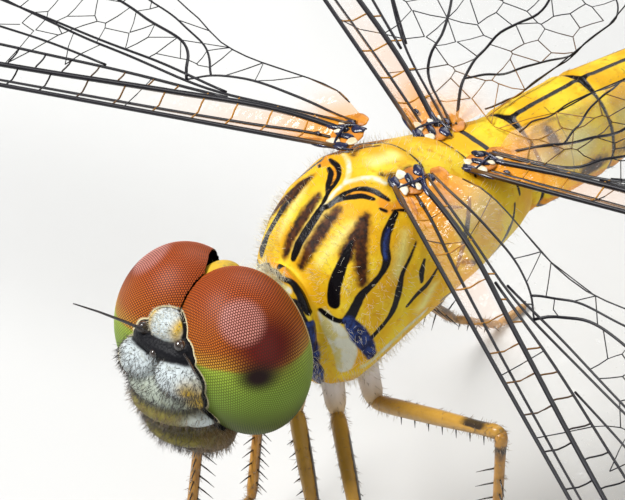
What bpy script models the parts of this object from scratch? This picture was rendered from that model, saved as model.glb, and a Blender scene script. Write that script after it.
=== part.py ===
"""A life-size skimmer dragonfly standing on its six feet, wings spread and drooped.

Frame: +Z up, the head towards -Y, the animal's left at +X. The floor is z = 0 and
the origin is the middle of the model's box on the floor. All sizes are in
millimetres until a mesh is written, when MM turns them into metres.
"""
import math

import bmesh
import bpy
from mathutils import Matrix, Vector

MM = 0.001
GAP = 0.06            # clearance between neighbouring solids
STAND_HEIGHT = 10.0   # middle of the thorax above the floor

# Head: a frame of its own between the eyes, turned and tilted on the neck
HEAD_PLACE = Vector((0.0, -5.82, 0.0))
HEAD_YAW, HEAD_NOD, HEAD_LEAN = 4.2, -3.3, -5.6
EYE_OFFSET = 1.22
EYE_RADII = (1.79, 1.73, 2.29)
EYE_LEAN = 20.0
MOUTH_SPLIT, LIP_SPLIT = -1.78, -2.35
# height, half width, front, back: level slices of the head's capsule
HEAD_SLICES = (
    (1.95, 0.45, -0.75, 1.35), (1.50, 0.80, -1.50, 1.60), (1.00, 1.00, -1.70, 1.70),
    (0.55, 1.20, -2.00, 1.72), (0.00, 1.50, -2.50, 1.72), (-0.60, 1.72, -2.62, 1.70),
    (-1.20, 1.85, -2.55, 1.60), (-1.78, 1.85, -2.40, 1.40), (-2.35, 1.62, -2.12, 1.10),
    (-2.80, 1.20, -1.72, 0.70), (-3.08, 0.65, -1.25, 0.20),
)
ANTENNA_ROOT = Vector((0.42, -1.55, 0.45))
ANTENNA_REACH = {"left": Vector((1.85, -1.05, 0.25)), "right": Vector((1.15, -1.85, 1.35))}
FEELER_RADIUS = 0.25

# Trunk slices: place along the body, top, underside, half width
PROTHORAX_SLICES = (
    (-3.98, 0.55, -1.60, 0.75), (-3.80, 0.95, -2.05, 1.15), (-3.45, 1.10, -2.30, 1.35),
    (-3.21, 0.95, -2.30, 1.20),
)
THORAX_SLICES = (
    (-3.15, 0.90, -2.50, 1.30), (-2.85, 1.50, -2.90, 1.85), (-2.25, 2.10, -3.10, 2.25),
    (-1.60, 2.60, -3.10, 2.45), (-0.60, 3.00, -2.90, 2.60), (0.60, 3.05, -2.50, 2.55),
    (1.80, 2.90, -1.90, 2.40), (2.90, 2.60, -1.25, 2.10), (3.60, 2.35, -0.90, 1.75),
    (4.10, 2.12, -0.70, 1.45),
)
# Abdomen: length, half width, half height of each of the ten segments at its end
ABDOMEN_START = Vector((0.0, 4.16, 0.72))
ABDOMEN_RISE = 2.0
ABDOMEN_FRONT = (1.40, 1.38)
ABDOMEN_SEGMENTS = (
    (1.1, 1.48, 1.50), (1.9, 1.42, 1.50), (3.4, 1.12, 1.15), (3.7, 1.15, 1.08), (3.7, 1.22, 1.12),
    (3.6, 1.26, 1.15), (3.4, 1.28, 1.15), (2.6, 1.18, 1.05), (1.9, 0.95, 0.85), (1.2, 0.68, 0.62),
)
CERCUS_LENGTH, CERCUS_RADIUS = 1.4, 0.26

# Wings: root, length, greatest chord, droop, sweep forward and pitch (front edge down),
# where the round tip starts, and the chord's share of its greatest at shares of the length
WING_THICKNESS = 0.5
FOREWING = dict(root=Vector((1.20, -0.62, 2.92)), length=32.0, chord=7.2,
                droop=10.5, sweep=17.5, pitch=13.0, tip=0.62,
                widths=((0.00, 0.15), (0.08, 0.24), (0.20, 0.53), (0.35, 0.84), (0.50, 0.97),
                        (0.64, 1.00), (0.80, 0.96), (1.00, 0.90)))
HINDWING = dict(root=Vector((1.20, 1.72, 2.62)), length=31.0, chord=9.6,
                droop=-4.0, sweep=-18.0, pitch=2.0, tip=0.60,
                widths=((0.00, 0.22), (0.05, 0.58), (0.10, 0.82), (0.18, 0.98), (0.27, 1.00),
                        (0.42, 0.94), (0.60, 0.84), (0.80, 0.74), (1.00, 0.66)))
LEADING_BEND = 0.72
APEX_SHARE = 0.42
OUTLINE_STEPS = 22

# Legs: lengths of thigh and shin, the root in the body and the hip of a left leg, from
# the middle of the thorax; then each leg's ankle, the way its knee points, and the
# places on the floor where its foot meets it and ends
LEG_LENGTHS = {"fore": (3.25, 3.95), "mid": (4.2, 4.2), "hind": (5.3, 6.1)}
HIPS = {"fore": (Vector((0.60, -3.60, -1.50)), Vector((0.95, -3.80, -3.00))),
        "mid": (Vector((0.90, -2.55, -2.20)), Vector((1.40, -2.75, -3.35))),
        "hind": (Vector((1.10, -1.55, -2.20)), Vector((1.60, -1.60, -3.45)))}
STANCE = {
    "fore_left": ((3.60, -6.40, -8.70), (1.0, 0.0, 0.5), (4.00, -7.10), (4.40, -7.80)),
    "fore_right": ((-2.70, -4.70, -9.00), (-1.0, 0.3, 0.0), (-3.00, -5.40), (-3.40, -6.20)),
    "mid_left": ((6.00, -4.90, -8.40), (0.5, -0.5, 1.0), (6.60, -5.20), (7.40, -5.50)),
    "mid_right": ((-2.80, -2.40, -9.00), (-1.0, 0.9, 0.3), (-3.30, -2.80), (-4.00, -3.20)),
    "hind_left": ((6.10, -1.30, -7.70), (0.7, 0.0, 1.0), (6.60, -0.50), (7.20, 0.30)),
    "hind_right": ((-5.00, 6.90, -8.60), (-0.6, 0.0, 1.0), (-5.20, 8.80), (-5.40, 10.00)),
}
COXA_RADIUS, HIP_RADIUS, KNEE_RADIUS, ANKLE_RADIUS = 0.42, 0.40, 0.32, 0.27
FOOT_RADIUS = 0.25
FOOT_SINK = 0.05      # depth of the flat filed on each foot's underside

SIDES_BODY, SIDES_HEAD, SIDES_LEG = 28, 32, 10

COLOURS = {
    "yellow_shell": ((0.80, 0.56, 0.05, 1), 0.35), "dark_shell": ((0.05, 0.03, 0.02, 1), 0.3),
    "eye_lens": ((0.45, 0.12, 0.03, 1), 0.15), "face": ((0.72, 0.70, 0.55, 1), 0.5),
    "wing_membrane": ((0.75, 0.72, 0.60, 1), 0.2), "leg_amber": ((0.45, 0.24, 0.05, 1), 0.4),
}


def collection(name):
    """Make a collection under the scene."""
    made = bpy.data.collections.new(name)
    bpy.context.scene.collection.children.link(made)
    return made


def material(name):
    """Return the named Principled material, made once."""
    found = bpy.data.materials.get(name)
    if found:
        return found
    colour, roughness = COLOURS[name]
    made = bpy.data.materials.new(name)
    made.use_nodes = True
    shader = made.node_tree.nodes["Principled BSDF"]
    shader.inputs["Base Color"].default_value = colour
    shader.inputs["Roughness"].default_value = roughness
    made.diffuse_color = colour
    return made


def add_mesh(name, bm, finish, home):
    """Write a mesh in millimetres as an object in metres, standing on the floor."""
    bmesh.ops.recalc_face_normals(bm, faces=bm.faces)
    bmesh.ops.transform(bm, matrix=Matrix.Scale(MM, 4), verts=bm.verts)
    mesh = bpy.data.meshes.new(name)
    bm.to_mesh(mesh)
    bm.free()
    mesh.shade_smooth()
    mesh.set_sharp_from_angle(angle=math.radians(40))
    obj = bpy.data.objects.new(name, mesh)
    obj.parent = body_frame
    if finish:
        mesh.materials.append(material(finish))
    else:
        obj.hide_render = True
        obj.display_type = "WIRE"
    home.objects.link(obj)
    return obj


def stack(rings):
    """Join equal rings of points into one closed skin with flat ends."""
    bm = bmesh.new()
    rows = [[bm.verts.new(point) for point in ring] for ring in rings]
    count = len(rows[0])
    for low, high in zip(rows, rows[1:]):
        for i in range(count):
            j = (i + 1) % count
            bm.faces.new((low[i], low[j], high[j], high[i]))
    bm.faces.new(rows[0])
    bm.faces.new(reversed(rows[-1]))
    return bm


def oval(count, half_a, half_b, power=2.0):
    """Points of a superellipse, as pairs."""
    points = []
    for i in range(count):
        turn = 2.0 * math.pi * i / count
        c, s = math.cos(turn), math.sin(turn)
        points.append((math.copysign(abs(c) ** (2.0 / power), c) * half_a,
                       math.copysign(abs(s) ** (2.0 / power), s) * half_b))
    return points


def trunk_rings(slices, power, grow=0.0):
    """Upright rings across the body, one for each slice, fattened by grow."""
    rings = []
    for y, top, underside, half_width in slices:
        middle, half_height = (top + underside) / 2.0, (top - underside) / 2.0
        rings.append([Vector((x, y, middle + z)) for x, z in
                      oval(SIDES_BODY, half_width + grow, half_height + grow, power)])
    if grow:
        for ring, shift in ((rings[0], -grow), (rings[-1], grow)):
            for point in ring:
                point.y += shift
    return rings


def head_rings(low, high):
    """Level rings of the head's capsule between two heights, in the head's frame."""
    def slice_at(height):
        for above, below in zip(HEAD_SLICES, HEAD_SLICES[1:]):
            if below[0] <= height <= above[0]:
                share = (above[0] - height) / (above[0] - below[0])
                return [a + (b - a) * share for a, b in zip(above, below)]
        return list(HEAD_SLICES[-1])
    heights = [high] + [s[0] for s in HEAD_SLICES if low + 0.1 < s[0] < high - 0.1] + [low]
    rings = []
    for height in heights:
        _, half_width, front, back = slice_at(height)
        middle, half_depth = (front + back) / 2.0, (back - front) / 2.0
        rings.append([HEAD_FRAME @ Vector((x, middle + y, height)) for x, y in
                      oval(SIDES_HEAD, half_width, half_depth, 2.3)])
    return rings


def head_frame():
    """The head's place and turn on the neck."""
    return (Matrix.Translation(HEAD_PLACE) @ Matrix.Rotation(math.radians(HEAD_YAW), 4, "Z")
            @ Matrix.Rotation(math.radians(HEAD_NOD), 4, "X")
            @ Matrix.Rotation(math.radians(HEAD_LEAN), 4, "Y"))


def eye_mesh(side, grow=0.0):
    """An egg-shaped eye; the two eyes meet at the head's middle plane."""
    bm = bmesh.new()
    bmesh.ops.create_uvsphere(bm, u_segments=28, v_segments=16, radius=1.0)
    radii = Matrix.Diagonal([r + grow for r in EYE_RADII] + [1.0])
    lean = Matrix.Rotation(math.radians(-side * EYE_LEAN), 4, "Y")
    place = Matrix.Translation((side * EYE_OFFSET, 0.0, 0.0))
    bmesh.ops.transform(bm, matrix=place @ lean @ radii, verts=bm.verts)
    if not grow:
        cut = bmesh.ops.bisect_plane(
            bm, geom=bm.verts[:] + bm.edges[:] + bm.faces[:], dist=1e-6,
            plane_co=(side * GAP / 2.0, 0, 0), plane_no=(-side, 0, 0), clear_outer=True)
        rim = [e for e in cut["geom_cut"] if isinstance(e, bmesh.types.BMEdge)]
        bmesh.ops.edgeloop_fill(bm, edges=rim)
    bmesh.ops.transform(bm, matrix=HEAD_FRAME, verts=bm.verts)
    return bm


def trim(obj, *tools):
    """Cut an object back from its neighbours."""
    for tool in tools:
        cut = obj.modifiers.new("trim", "BOOLEAN")
        cut.operation = "DIFFERENCE"
        cut.solver = "EXACT"
        cut.object = tool


def tube(path, radii, start_normal=None, end_normal=None):
    """A round limb along a path, its ends cut square or on the given planes."""
    rings = []
    last = len(path) - 1
    for i, (point, radius) in enumerate(zip(path, radii)):
        before = (point - path[i - 1]).normalized() if i else None
        after = (path[i + 1] - point).normalized() if i < last else None
        run = after if i == 0 else before
        plane = run if before is None or after is None else (before + after).normalized()
        if i == 0 and start_normal:
            plane = start_normal
        if i == last and end_normal:
            plane = end_normal
        side = run.cross(Vector((0.31, 0.87, 0.39))).normalized()
        other = run.cross(side)
        ring = []
        for a, b in oval(SIDES_LEG, radius, radius):
            spoke = side * a + other * b
            ring.append(point + spoke - run * (spoke.dot(plane) / run.dot(plane)))
        rings.append(ring)
    return stack(rings)


def build_head():
    """Capsule, lips, eyes and feelers."""
    capsule = add_mesh("head", stack(head_rings(MOUTH_SPLIT + GAP / 2, HEAD_SLICES[0][0])), "face", parts)
    lip = add_mesh("labrum", stack(head_rings(LIP_SPLIT + GAP / 2, MOUTH_SPLIT - GAP / 2)), "face", parts)
    chin = add_mesh("labium", stack(head_rings(HEAD_SLICES[-1][0], LIP_SPLIT - GAP / 2)), "face", parts)
    eye_tools = []
    for side, label in ((1, "left"), (-1, "right")):
        add_mesh("eye_" + label, eye_mesh(side), "eye_lens", parts)
        eye_tools.append(add_mesh("cut_eye_" + label, eye_mesh(side, GAP), None, cutters))
    for piece in (capsule, lip, chin):
        trim(piece, *eye_tools)
    for side, label in ((1, "left"), (-1, "right")):
        mirror = Vector((side, 1, 1))
        root = HEAD_FRAME @ (ANTENNA_ROOT * mirror)
        tip = HEAD_FRAME @ ((ANTENNA_ROOT + ANTENNA_REACH[label]) * mirror)
        feeler = add_mesh("antenna_" + label, tube((root, tip), (FEELER_RADIUS,) * 2), "dark_shell", parts)
        tool = add_mesh("cut_head_" + label, grown_head(), None, cutters)
        trim(feeler, tool, *eye_tools)


def grown_head():
    """The capsule with its clearance, for cutting the feelers back."""
    bm = stack(head_rings(MOUTH_SPLIT, HEAD_SLICES[0][0]))
    bmesh.ops.recalc_face_normals(bm, faces=bm.faces)
    bm.normal_update()
    for vert, normal in [(v, v.normal.copy()) for v in bm.verts]:
        vert.co += normal * GAP
    return bm


def build_trunk():
    """Prothorax, the thorax that carries wings and legs, and their cutting shapes."""
    add_mesh("prothorax", stack(trunk_rings(PROTHORAX_SLICES, 2.2)), "dark_shell", parts)
    add_mesh("thorax", stack(trunk_rings(THORAX_SLICES, 2.4)), "yellow_shell", parts)
    return [add_mesh("cut_prothorax", stack(trunk_rings(PROTHORAX_SLICES, 2.2, GAP)), None, cutters),
            add_mesh("cut_thorax", stack(trunk_rings(THORAX_SLICES, 2.4, GAP)), None, cutters)]


def build_abdomen():
    """Ten segments in a row, then the two claspers."""
    along = Vector((0.0, math.cos(math.radians(ABDOMEN_RISE)), math.sin(math.radians(ABDOMEN_RISE))))
    upward = Vector((0.0, -along.z, along.y))
    start, front = ABDOMEN_START.copy(), ABDOMEN_FRONT
    for number, (length, half_width, half_height) in enumerate(ABDOMEN_SEGMENTS, 1):
        rings = []
        for share in (0.0, 0.5, 1.0):
            wide = front[0] + (half_width - front[0]) * share
            high = front[1] + (half_height - front[1]) * share
            middle = start + along * ((length - GAP) * share)
            rings.append([middle + Vector((x, 0, 0)) + upward * z for x, z in oval(24, wide, high, 2.1)])
        add_mesh("abdomen_%d" % number, stack(rings), "yellow_shell", parts)
        start += along * length
        front = (half_width, half_height)
    for side, label in ((1, "left"), (-1, "right")):
        root = start + Vector((side * 0.32, 0.0, 0.12))
        tip = root + (along + Vector((side * 0.10, 0, 0.05))) * CERCUS_LENGTH
        add_mesh("cercus_" + label, tube((root, tip), (CERCUS_RADIUS, CERCUS_RADIUS * 0.96),
                                         start_normal=along), "dark_shell", parts)


def smooth_through(pairs, share):
    """Value at a share of the length, on a smooth curve through the pairs."""
    last = len(pairs) - 2
    i = max(k for k in range(last + 1) if pairs[k][0] <= share or k == 0)
    (x0, y0), (x1, y1) = pairs[i], pairs[i + 1]
    slope = (y1 - y0) / (x1 - x0)
    start = slope if i == 0 else (y1 - pairs[i - 1][1]) / (x1 - pairs[i - 1][0])
    end = slope if i == last else (pairs[i + 2][1] - y0) / (pairs[i + 2][0] - x0)
    t, width = (share - x0) / (x1 - x0), x1 - x0
    return ((2 * t ** 3 - 3 * t ** 2 + 1) * y0 + (t ** 3 - 2 * t ** 2 + t) * width * start
            + (3 * t ** 2 - 2 * t ** 3) * y1 + (t ** 3 - t ** 2) * width * end)


def wing_outline(wing):
    """Front and rear edges of a wing as points (out along the span, back along the chord)."""
    length, chord = wing["length"], wing["chord"]
    apex = APEX_SHARE * chord
    front, rear = [], []
    for i in range(OUTLINE_STEPS + 1):
        share = math.sin(0.5 * math.pi * i / OUTLINE_STEPS)
        bend = max(0.0, (share - LEADING_BEND) / (1.0 - LEADING_BEND))
        front.append((share * length, apex * (1.0 - math.sqrt(max(0.0, 1.0 - bend ** 2)))))
        bend = max(0.0, (share - wing["tip"]) / (1.0 - wing["tip"]))
        edge = chord * smooth_through(wing["widths"], share)
        rear.append((share * length, apex + (edge - apex) * math.sqrt(max(0.0, 1.0 - bend ** 2))))
    return front + rear[-2::-1]


def wing_frame(wing):
    """Axes of the left wing: out along the span, back along the chord, and up through it."""
    droop, sweep, pitch = (math.radians(wing[key]) for key in ("droop", "sweep", "pitch"))
    out = Vector((math.cos(droop) * math.cos(sweep), -math.cos(droop) * math.sin(sweep), -math.sin(droop)))
    level = Vector((0, 0, 1)).cross(out).normalized()
    back = level * math.cos(pitch) + out.cross(level) * math.sin(pitch)
    up = out.cross(back)
    frame = Matrix((out, back, up)).transposed().to_4x4()
    frame.translation = wing["root"]
    return frame


def build_wing(name, wing, side, tools):
    """A flat blade of the wing's outline, cut back from the thorax at its root."""
    mirror = Matrix.Diagonal((side, 1, 1, 1))
    place = mirror @ wing_frame(wing)
    outline = wing_outline(wing)
    half = WING_THICKNESS / 2.0
    rings = [[place @ Vector((x, y, z)) for x, y in outline] for z in (-half, half)]
    blade = add_mesh(name, stack(rings), "wing_membrane", parts)
    trim(blade, *tools)


def knee_place(hip, ankle, lengths, pole):
    """Where thigh and shin of the given lengths meet, on the side the pole points to."""
    reach = ankle - hip
    span = min(reach.length, 0.995 * sum(lengths))
    along = reach.normalized()
    foot_share = (lengths[0] ** 2 - lengths[1] ** 2 + span ** 2) / (2.0 * span)
    aside = (pole - along * pole.dot(along)).normalized()
    return hip + along * foot_share + aside * math.sqrt(lengths[0] ** 2 - foot_share ** 2)


def build_leg(label, tools):
    """Hip, thigh, shin and foot, cut on the planes that halve each joint."""
    pair, side = label.split("_")
    mirror = Vector((1 if side == "left" else -1, 1, 1))
    root, hip = (point * mirror for point in HIPS[pair])
    ankle, pole = (Vector(value) for value in STANCE[label][:2])
    knee = knee_place(hip, ankle, LEG_LENGTHS[pair], pole)
    floor = -STAND_HEIGHT + FOOT_RADIUS - FOOT_SINK
    sole, toe = (Vector((x, y, floor)) for x, y in STANCE[label][2:])
    runs = [(b - a).normalized() for a, b in zip((root, hip, knee, ankle), (hip, knee, ankle, sole))]
    planes = [(a + b).normalized() for a, b in zip(runs, runs[1:])]
    half = GAP / 2.0

    def link(part, start, end, radii, first, last, finish):
        ends = [start, end]
        for index, plane, sign in ((0, first, 1), (-1, last, -1)):
            if plane:
                run = (end - start).normalized()
                ends[index] = ends[index] + run * (sign * half / run.dot(plane))
        return add_mesh("leg_%s_%s" % (label, part), tube(ends, radii, first, last), finish, parts)

    hip_piece = link("coxa", root, hip, (COXA_RADIUS, HIP_RADIUS), None, planes[0], "yellow_shell")
    trim(hip_piece, *tools)
    thigh = link("femur", hip, knee, (HIP_RADIUS, KNEE_RADIUS), planes[0], planes[1], "leg_amber")
    trim(thigh, *tools)
    link("tibia", knee, ankle, (KNEE_RADIUS - 0.02, ANKLE_RADIUS), planes[1], planes[2], "leg_amber")
    run = (sole - ankle).normalized()
    bm = tube((ankle + run * (half / run.dot(planes[2])), sole, toe), (FOOT_RADIUS,) * 3, planes[2])
    cut = bmesh.ops.bisect_plane(
        bm, geom=bm.verts[:] + bm.edges[:] + bm.faces[:], dist=1e-6,
        plane_co=(0, 0, -STAND_HEIGHT), plane_no=(0, 0, -1), clear_outer=True)
    rim = [e for e in cut["geom_cut"] if isinstance(e, bmesh.types.BMEdge)]
    bmesh.ops.holes_fill(bm, edges=rim)
    add_mesh("leg_%s_foot" % label, bm, "dark_shell", parts)


def centre_on_floor():
    """Move the body's frame so that the model's box is centred over the origin."""
    bpy.context.view_layer.update()
    graph = bpy.context.evaluated_depsgraph_get()
    reach = []
    for obj in parts.objects:
        seen = obj.evaluated_get(graph)
        reach += [seen.matrix_world @ Vector(corner) for corner in seen.bound_box]
    low = [min(point[axis] for point in reach) for axis in range(2)]
    high = [max(point[axis] for point in reach) for axis in range(2)]
    body_frame.location.x -= (low[0] + high[0]) / 2.0
    body_frame.location.y -= (low[1] + high[1]) / 2.0


for old in list(bpy.data.objects):
    bpy.data.objects.remove(old, do_unlink=True)
parts = collection("dragonfly")
cutters = collection("cutters")
body_frame = bpy.data.objects.new("body_frame", None)
body_frame.location = (0.0, 0.0, STAND_HEIGHT * MM)
parts.objects.link(body_frame)
HEAD_FRAME = head_frame()

trunk_tools = build_trunk()
build_head()
build_abdomen()
for wing_side, wing_label in ((1, "left"), (-1, "right")):
    build_wing("forewing_" + wing_label, FOREWING, wing_side, trunk_tools[1:])
    build_wing("hindwing_" + wing_label, HINDWING, wing_side, trunk_tools[1:])
for leg_label in STANCE:
    build_leg(leg_label, trunk_tools)
centre_on_floor()
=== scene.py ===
"""The looks of a life-size skimmer dragonfly: faceted eyes, hairy face, painted thorax,
veined wings, spiny legs and fine hair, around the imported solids.

Every shape is worked out in millimetres from the middle of the thorax, with the head
towards -Y and the animal's left at +X, and add_mesh writes it in metres in the row's frame.
"""

import math

import bmesh
import bpy
import numpy as np
from mathutils import Matrix, Vector
from mathutils.bvhtree import BVHTree
from mathutils.geometry import delaunay_2d_cdt


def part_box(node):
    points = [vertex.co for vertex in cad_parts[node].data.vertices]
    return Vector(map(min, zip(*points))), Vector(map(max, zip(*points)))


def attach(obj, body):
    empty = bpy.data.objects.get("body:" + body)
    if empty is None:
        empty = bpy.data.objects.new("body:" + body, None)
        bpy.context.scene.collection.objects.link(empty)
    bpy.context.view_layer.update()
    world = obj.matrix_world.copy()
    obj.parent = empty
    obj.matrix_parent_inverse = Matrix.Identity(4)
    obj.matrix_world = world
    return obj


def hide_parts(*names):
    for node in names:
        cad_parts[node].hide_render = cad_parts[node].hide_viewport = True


MM = 0.001
SEED = 7
SKEW = (0.31, 0.87, 0.39)       # a direction along which no limb or hair lies
STAND_HEIGHT = 10.0
THORAX_AHEAD = 3.15     # how far the thorax's solid reaches ahead of its middle

# Head, as in the solids
HEAD_PLACE = (0.0, -5.82, 0.0)
HEAD_YAW, HEAD_NOD, HEAD_LEAN = 4.2, -3.3, -5.6     # degrees
EYE_OFFSET, EYE_RADII, EYE_LEAN = 1.22, (1.79, 1.73, 2.29), 20.0
EYE_BORDER = 0.40        # height of the line between an eye's red and green halves
EYE_REAR, EYE_RIM = 1.20, 0.03  # where the facets end behind, and half the pale rim's width
# Patches of the left eye, the painted dark pseudopupil (spot, and its dark red halo of painted shade) and the
# painted highlight: middle, and how much they are squeezed in height
EYE_SPOTS = {"spot": ((2.66, -6.46, 0.50), 1.45), "pseudopupil_shade": ((2.55, -6.05, 1.15), 1.1),
             "painted_highlight": ((1.98, -6.40, 1.85), 1.0)}
FACET_RISE = 0.006       # how far a facet's middle stands over its corners, as a share
EYE_MEAN = 1.9          # an eye's middling radius
EYE_SEARCH, EYE_EDGE = 0.5, 0.042   # how far off the face is looked for, and half the pale line along it
HEAD_VOXEL = 0.045      # grain of the face's skin
CREASE_SHADE_WIDTH, BAND_REACH = 0.12, 1.12  # the black rim's width along the eyes, painted shade in the groove where the face meets them, and the band's share past its zones
# Where the band, the black rim of painted shade and the pale line end behind, and where the rim ends below
BAND_FRONT, RIM_FRONT, EDGE_FRONT, RIM_LOWEST = -1.2, -0.9, -0.3, -2.0
# The dark disc between the eyes, painted shade in the crease where they meet: its middle and radii back and up,
# and half its thickness
SEAM_MIDDLE, SEAM_RADII, SEAM_HALF = (-0.22, 0.05), (1.05, 1.66), 0.02
UNMARKED = 1.0          # a distance at which no mark shows

# Zones of the face: middle, radii, colour (mirrored where the middle is off the centre line)
WHITE, YELLOW, OLIVE = (0.54, 0.60, 0.61), (0.60, 0.38, 0.03), (0.20, 0.17, 0.04)
BROWN, BLACK, GREY, DUN = (0.10, 0.06, 0.02), (0.005, 0.005, 0.007), (0.36, 0.40, 0.33), (0.12, 0.10, 0.03)
FACE_ZONES = (
    ((0.0, -0.15, -0.75), (1.30, 1.50, 1.95), DUN),
    ((0.0, 0.75, -0.40), (1.75, 0.90, 1.70), DUN),
    ((0.0, 0.40, 1.50), (0.52, 0.66, 0.49), YELLOW),
    ((0.0, -1.42, 0.88), (0.72, 0.48, 0.46), WHITE),
    ((0.0, -1.58, 0.40), (1.22, 0.54, 0.32), BLACK),
    ((0.74, -1.52, 0.56), (0.36, 0.38, 0.28), BLACK),
    ((0.72, -1.76, -0.20), (0.80, 0.66, 0.56), WHITE),
    ((0.0, -1.74, -0.78), (1.24, 0.72, 0.50), GREY),
    ((0.0, -1.58, -1.34), (1.28, 0.84, 0.46), OLIVE),
    ((1.10, -1.42, -0.62), (0.42, 0.60, 0.48), YELLOW),
    ((1.02, -1.26, -1.38), (0.50, 0.78, 0.30), WHITE),
    ((0.0, -1.42, -1.84), (1.08, 0.70, 0.24), DUN),
    ((0.0, -1.20, -2.22), (1.18, 0.84, 0.42), OLIVE),
    ((0.85, -0.85, -2.15), (0.55, 0.75, 0.55), BROWN),
    ((0.0, -0.62, -2.62), (1.10, 0.85, 0.48), BROWN),
)
ZONE_BLEND = 0.035      # over what depth two zones' colours mix
# Yellow flecks of the face: how far aside and its reach, how high and its reach
FACE_FLECKS = ((0.52, 0.16, 1.15, 0.45), (1.32, 0.22, -0.35, 0.30))
# Simple eyes: place and radius
OCELLI = ((0.0, -2.08, 0.34, 0.12), (0.70, -1.78, 0.72, 0.17))
NOTCH_START, NOTCH_SPREAD = -0.12, 0.75   # where the eyes part behind, and how fast
# Feelers: root, where along them their radii are given, bow and reach
ANTENNA_ROOT = (0.42, -1.55, 0.45)
ANTENNA_SHARES = (0.0, 0.04, 0.10, 0.13, 0.17, 0.22, 0.25, 0.4, 0.7, 1.0)
ANTENNA_RADII = (0.15, 0.17, 0.15, 0.09, 0.11, 0.09, 0.045, 0.040, 0.030, 0.018)
ANTENNA_BOW = (0, 0, 0.25)
ANTENNA_REACH = {"left": (1.85, -1.05, 0.25), "right": (1.15, -1.85, 1.35)}

# Trunk: place along the body, top, underside, half width, squareness
TRUNK_SLICES = (
    (-4.60, -0.10, -1.20, 0.55, 2.0), (-4.00, 0.45, -1.55, 0.72, 2.2), (-3.80, 0.92, -2.02, 1.12, 2.2),
    (-3.45, 1.07, -2.27, 1.32, 2.2), (-3.21, 0.86, -2.28, 1.16, 2.2), (-3.12, 0.92, -2.45, 1.30, 2.4),
    (-2.85, 1.48, -2.85, 1.84, 2.4), (-2.25, 2.08, -3.05, 2.24, 2.4), (-1.60, 2.58, -3.05, 2.44, 2.4),
    (-0.60, 2.97, -2.85, 2.58, 2.4), (0.60, 3.00, -2.48, 2.52, 2.4), (1.80, 2.87, -1.88, 2.38, 2.4),
    (2.90, 2.58, -1.24, 2.08, 2.4), (3.60, 2.34, -0.90, 1.74, 2.4), (4.12, 2.10, -0.70, 1.44, 2.3),
)
# How far the drawn skin lies inside that: place along, off the top, off the underside, off the
# side, and how much rounder it is below
TRUNK_TRIM = (
    (-3.00, 0, 0, 0, 0), (-2.25, 0, .12, .02, .10), (-1.60, 0, .30, .06, .30), (-.60, .05, .48, .12, .45),
    (.60, .22, .60, .16, .45), (1.80, .52, .52, .14, .40), (2.90, .50, .36, .08, .30), (3.60, .28, .16, .02, .10),
    (4.12, .03, .02, 0, 0),
)
TRUNK_ROWS, TRUNK_ROUND = 300, 288

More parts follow.
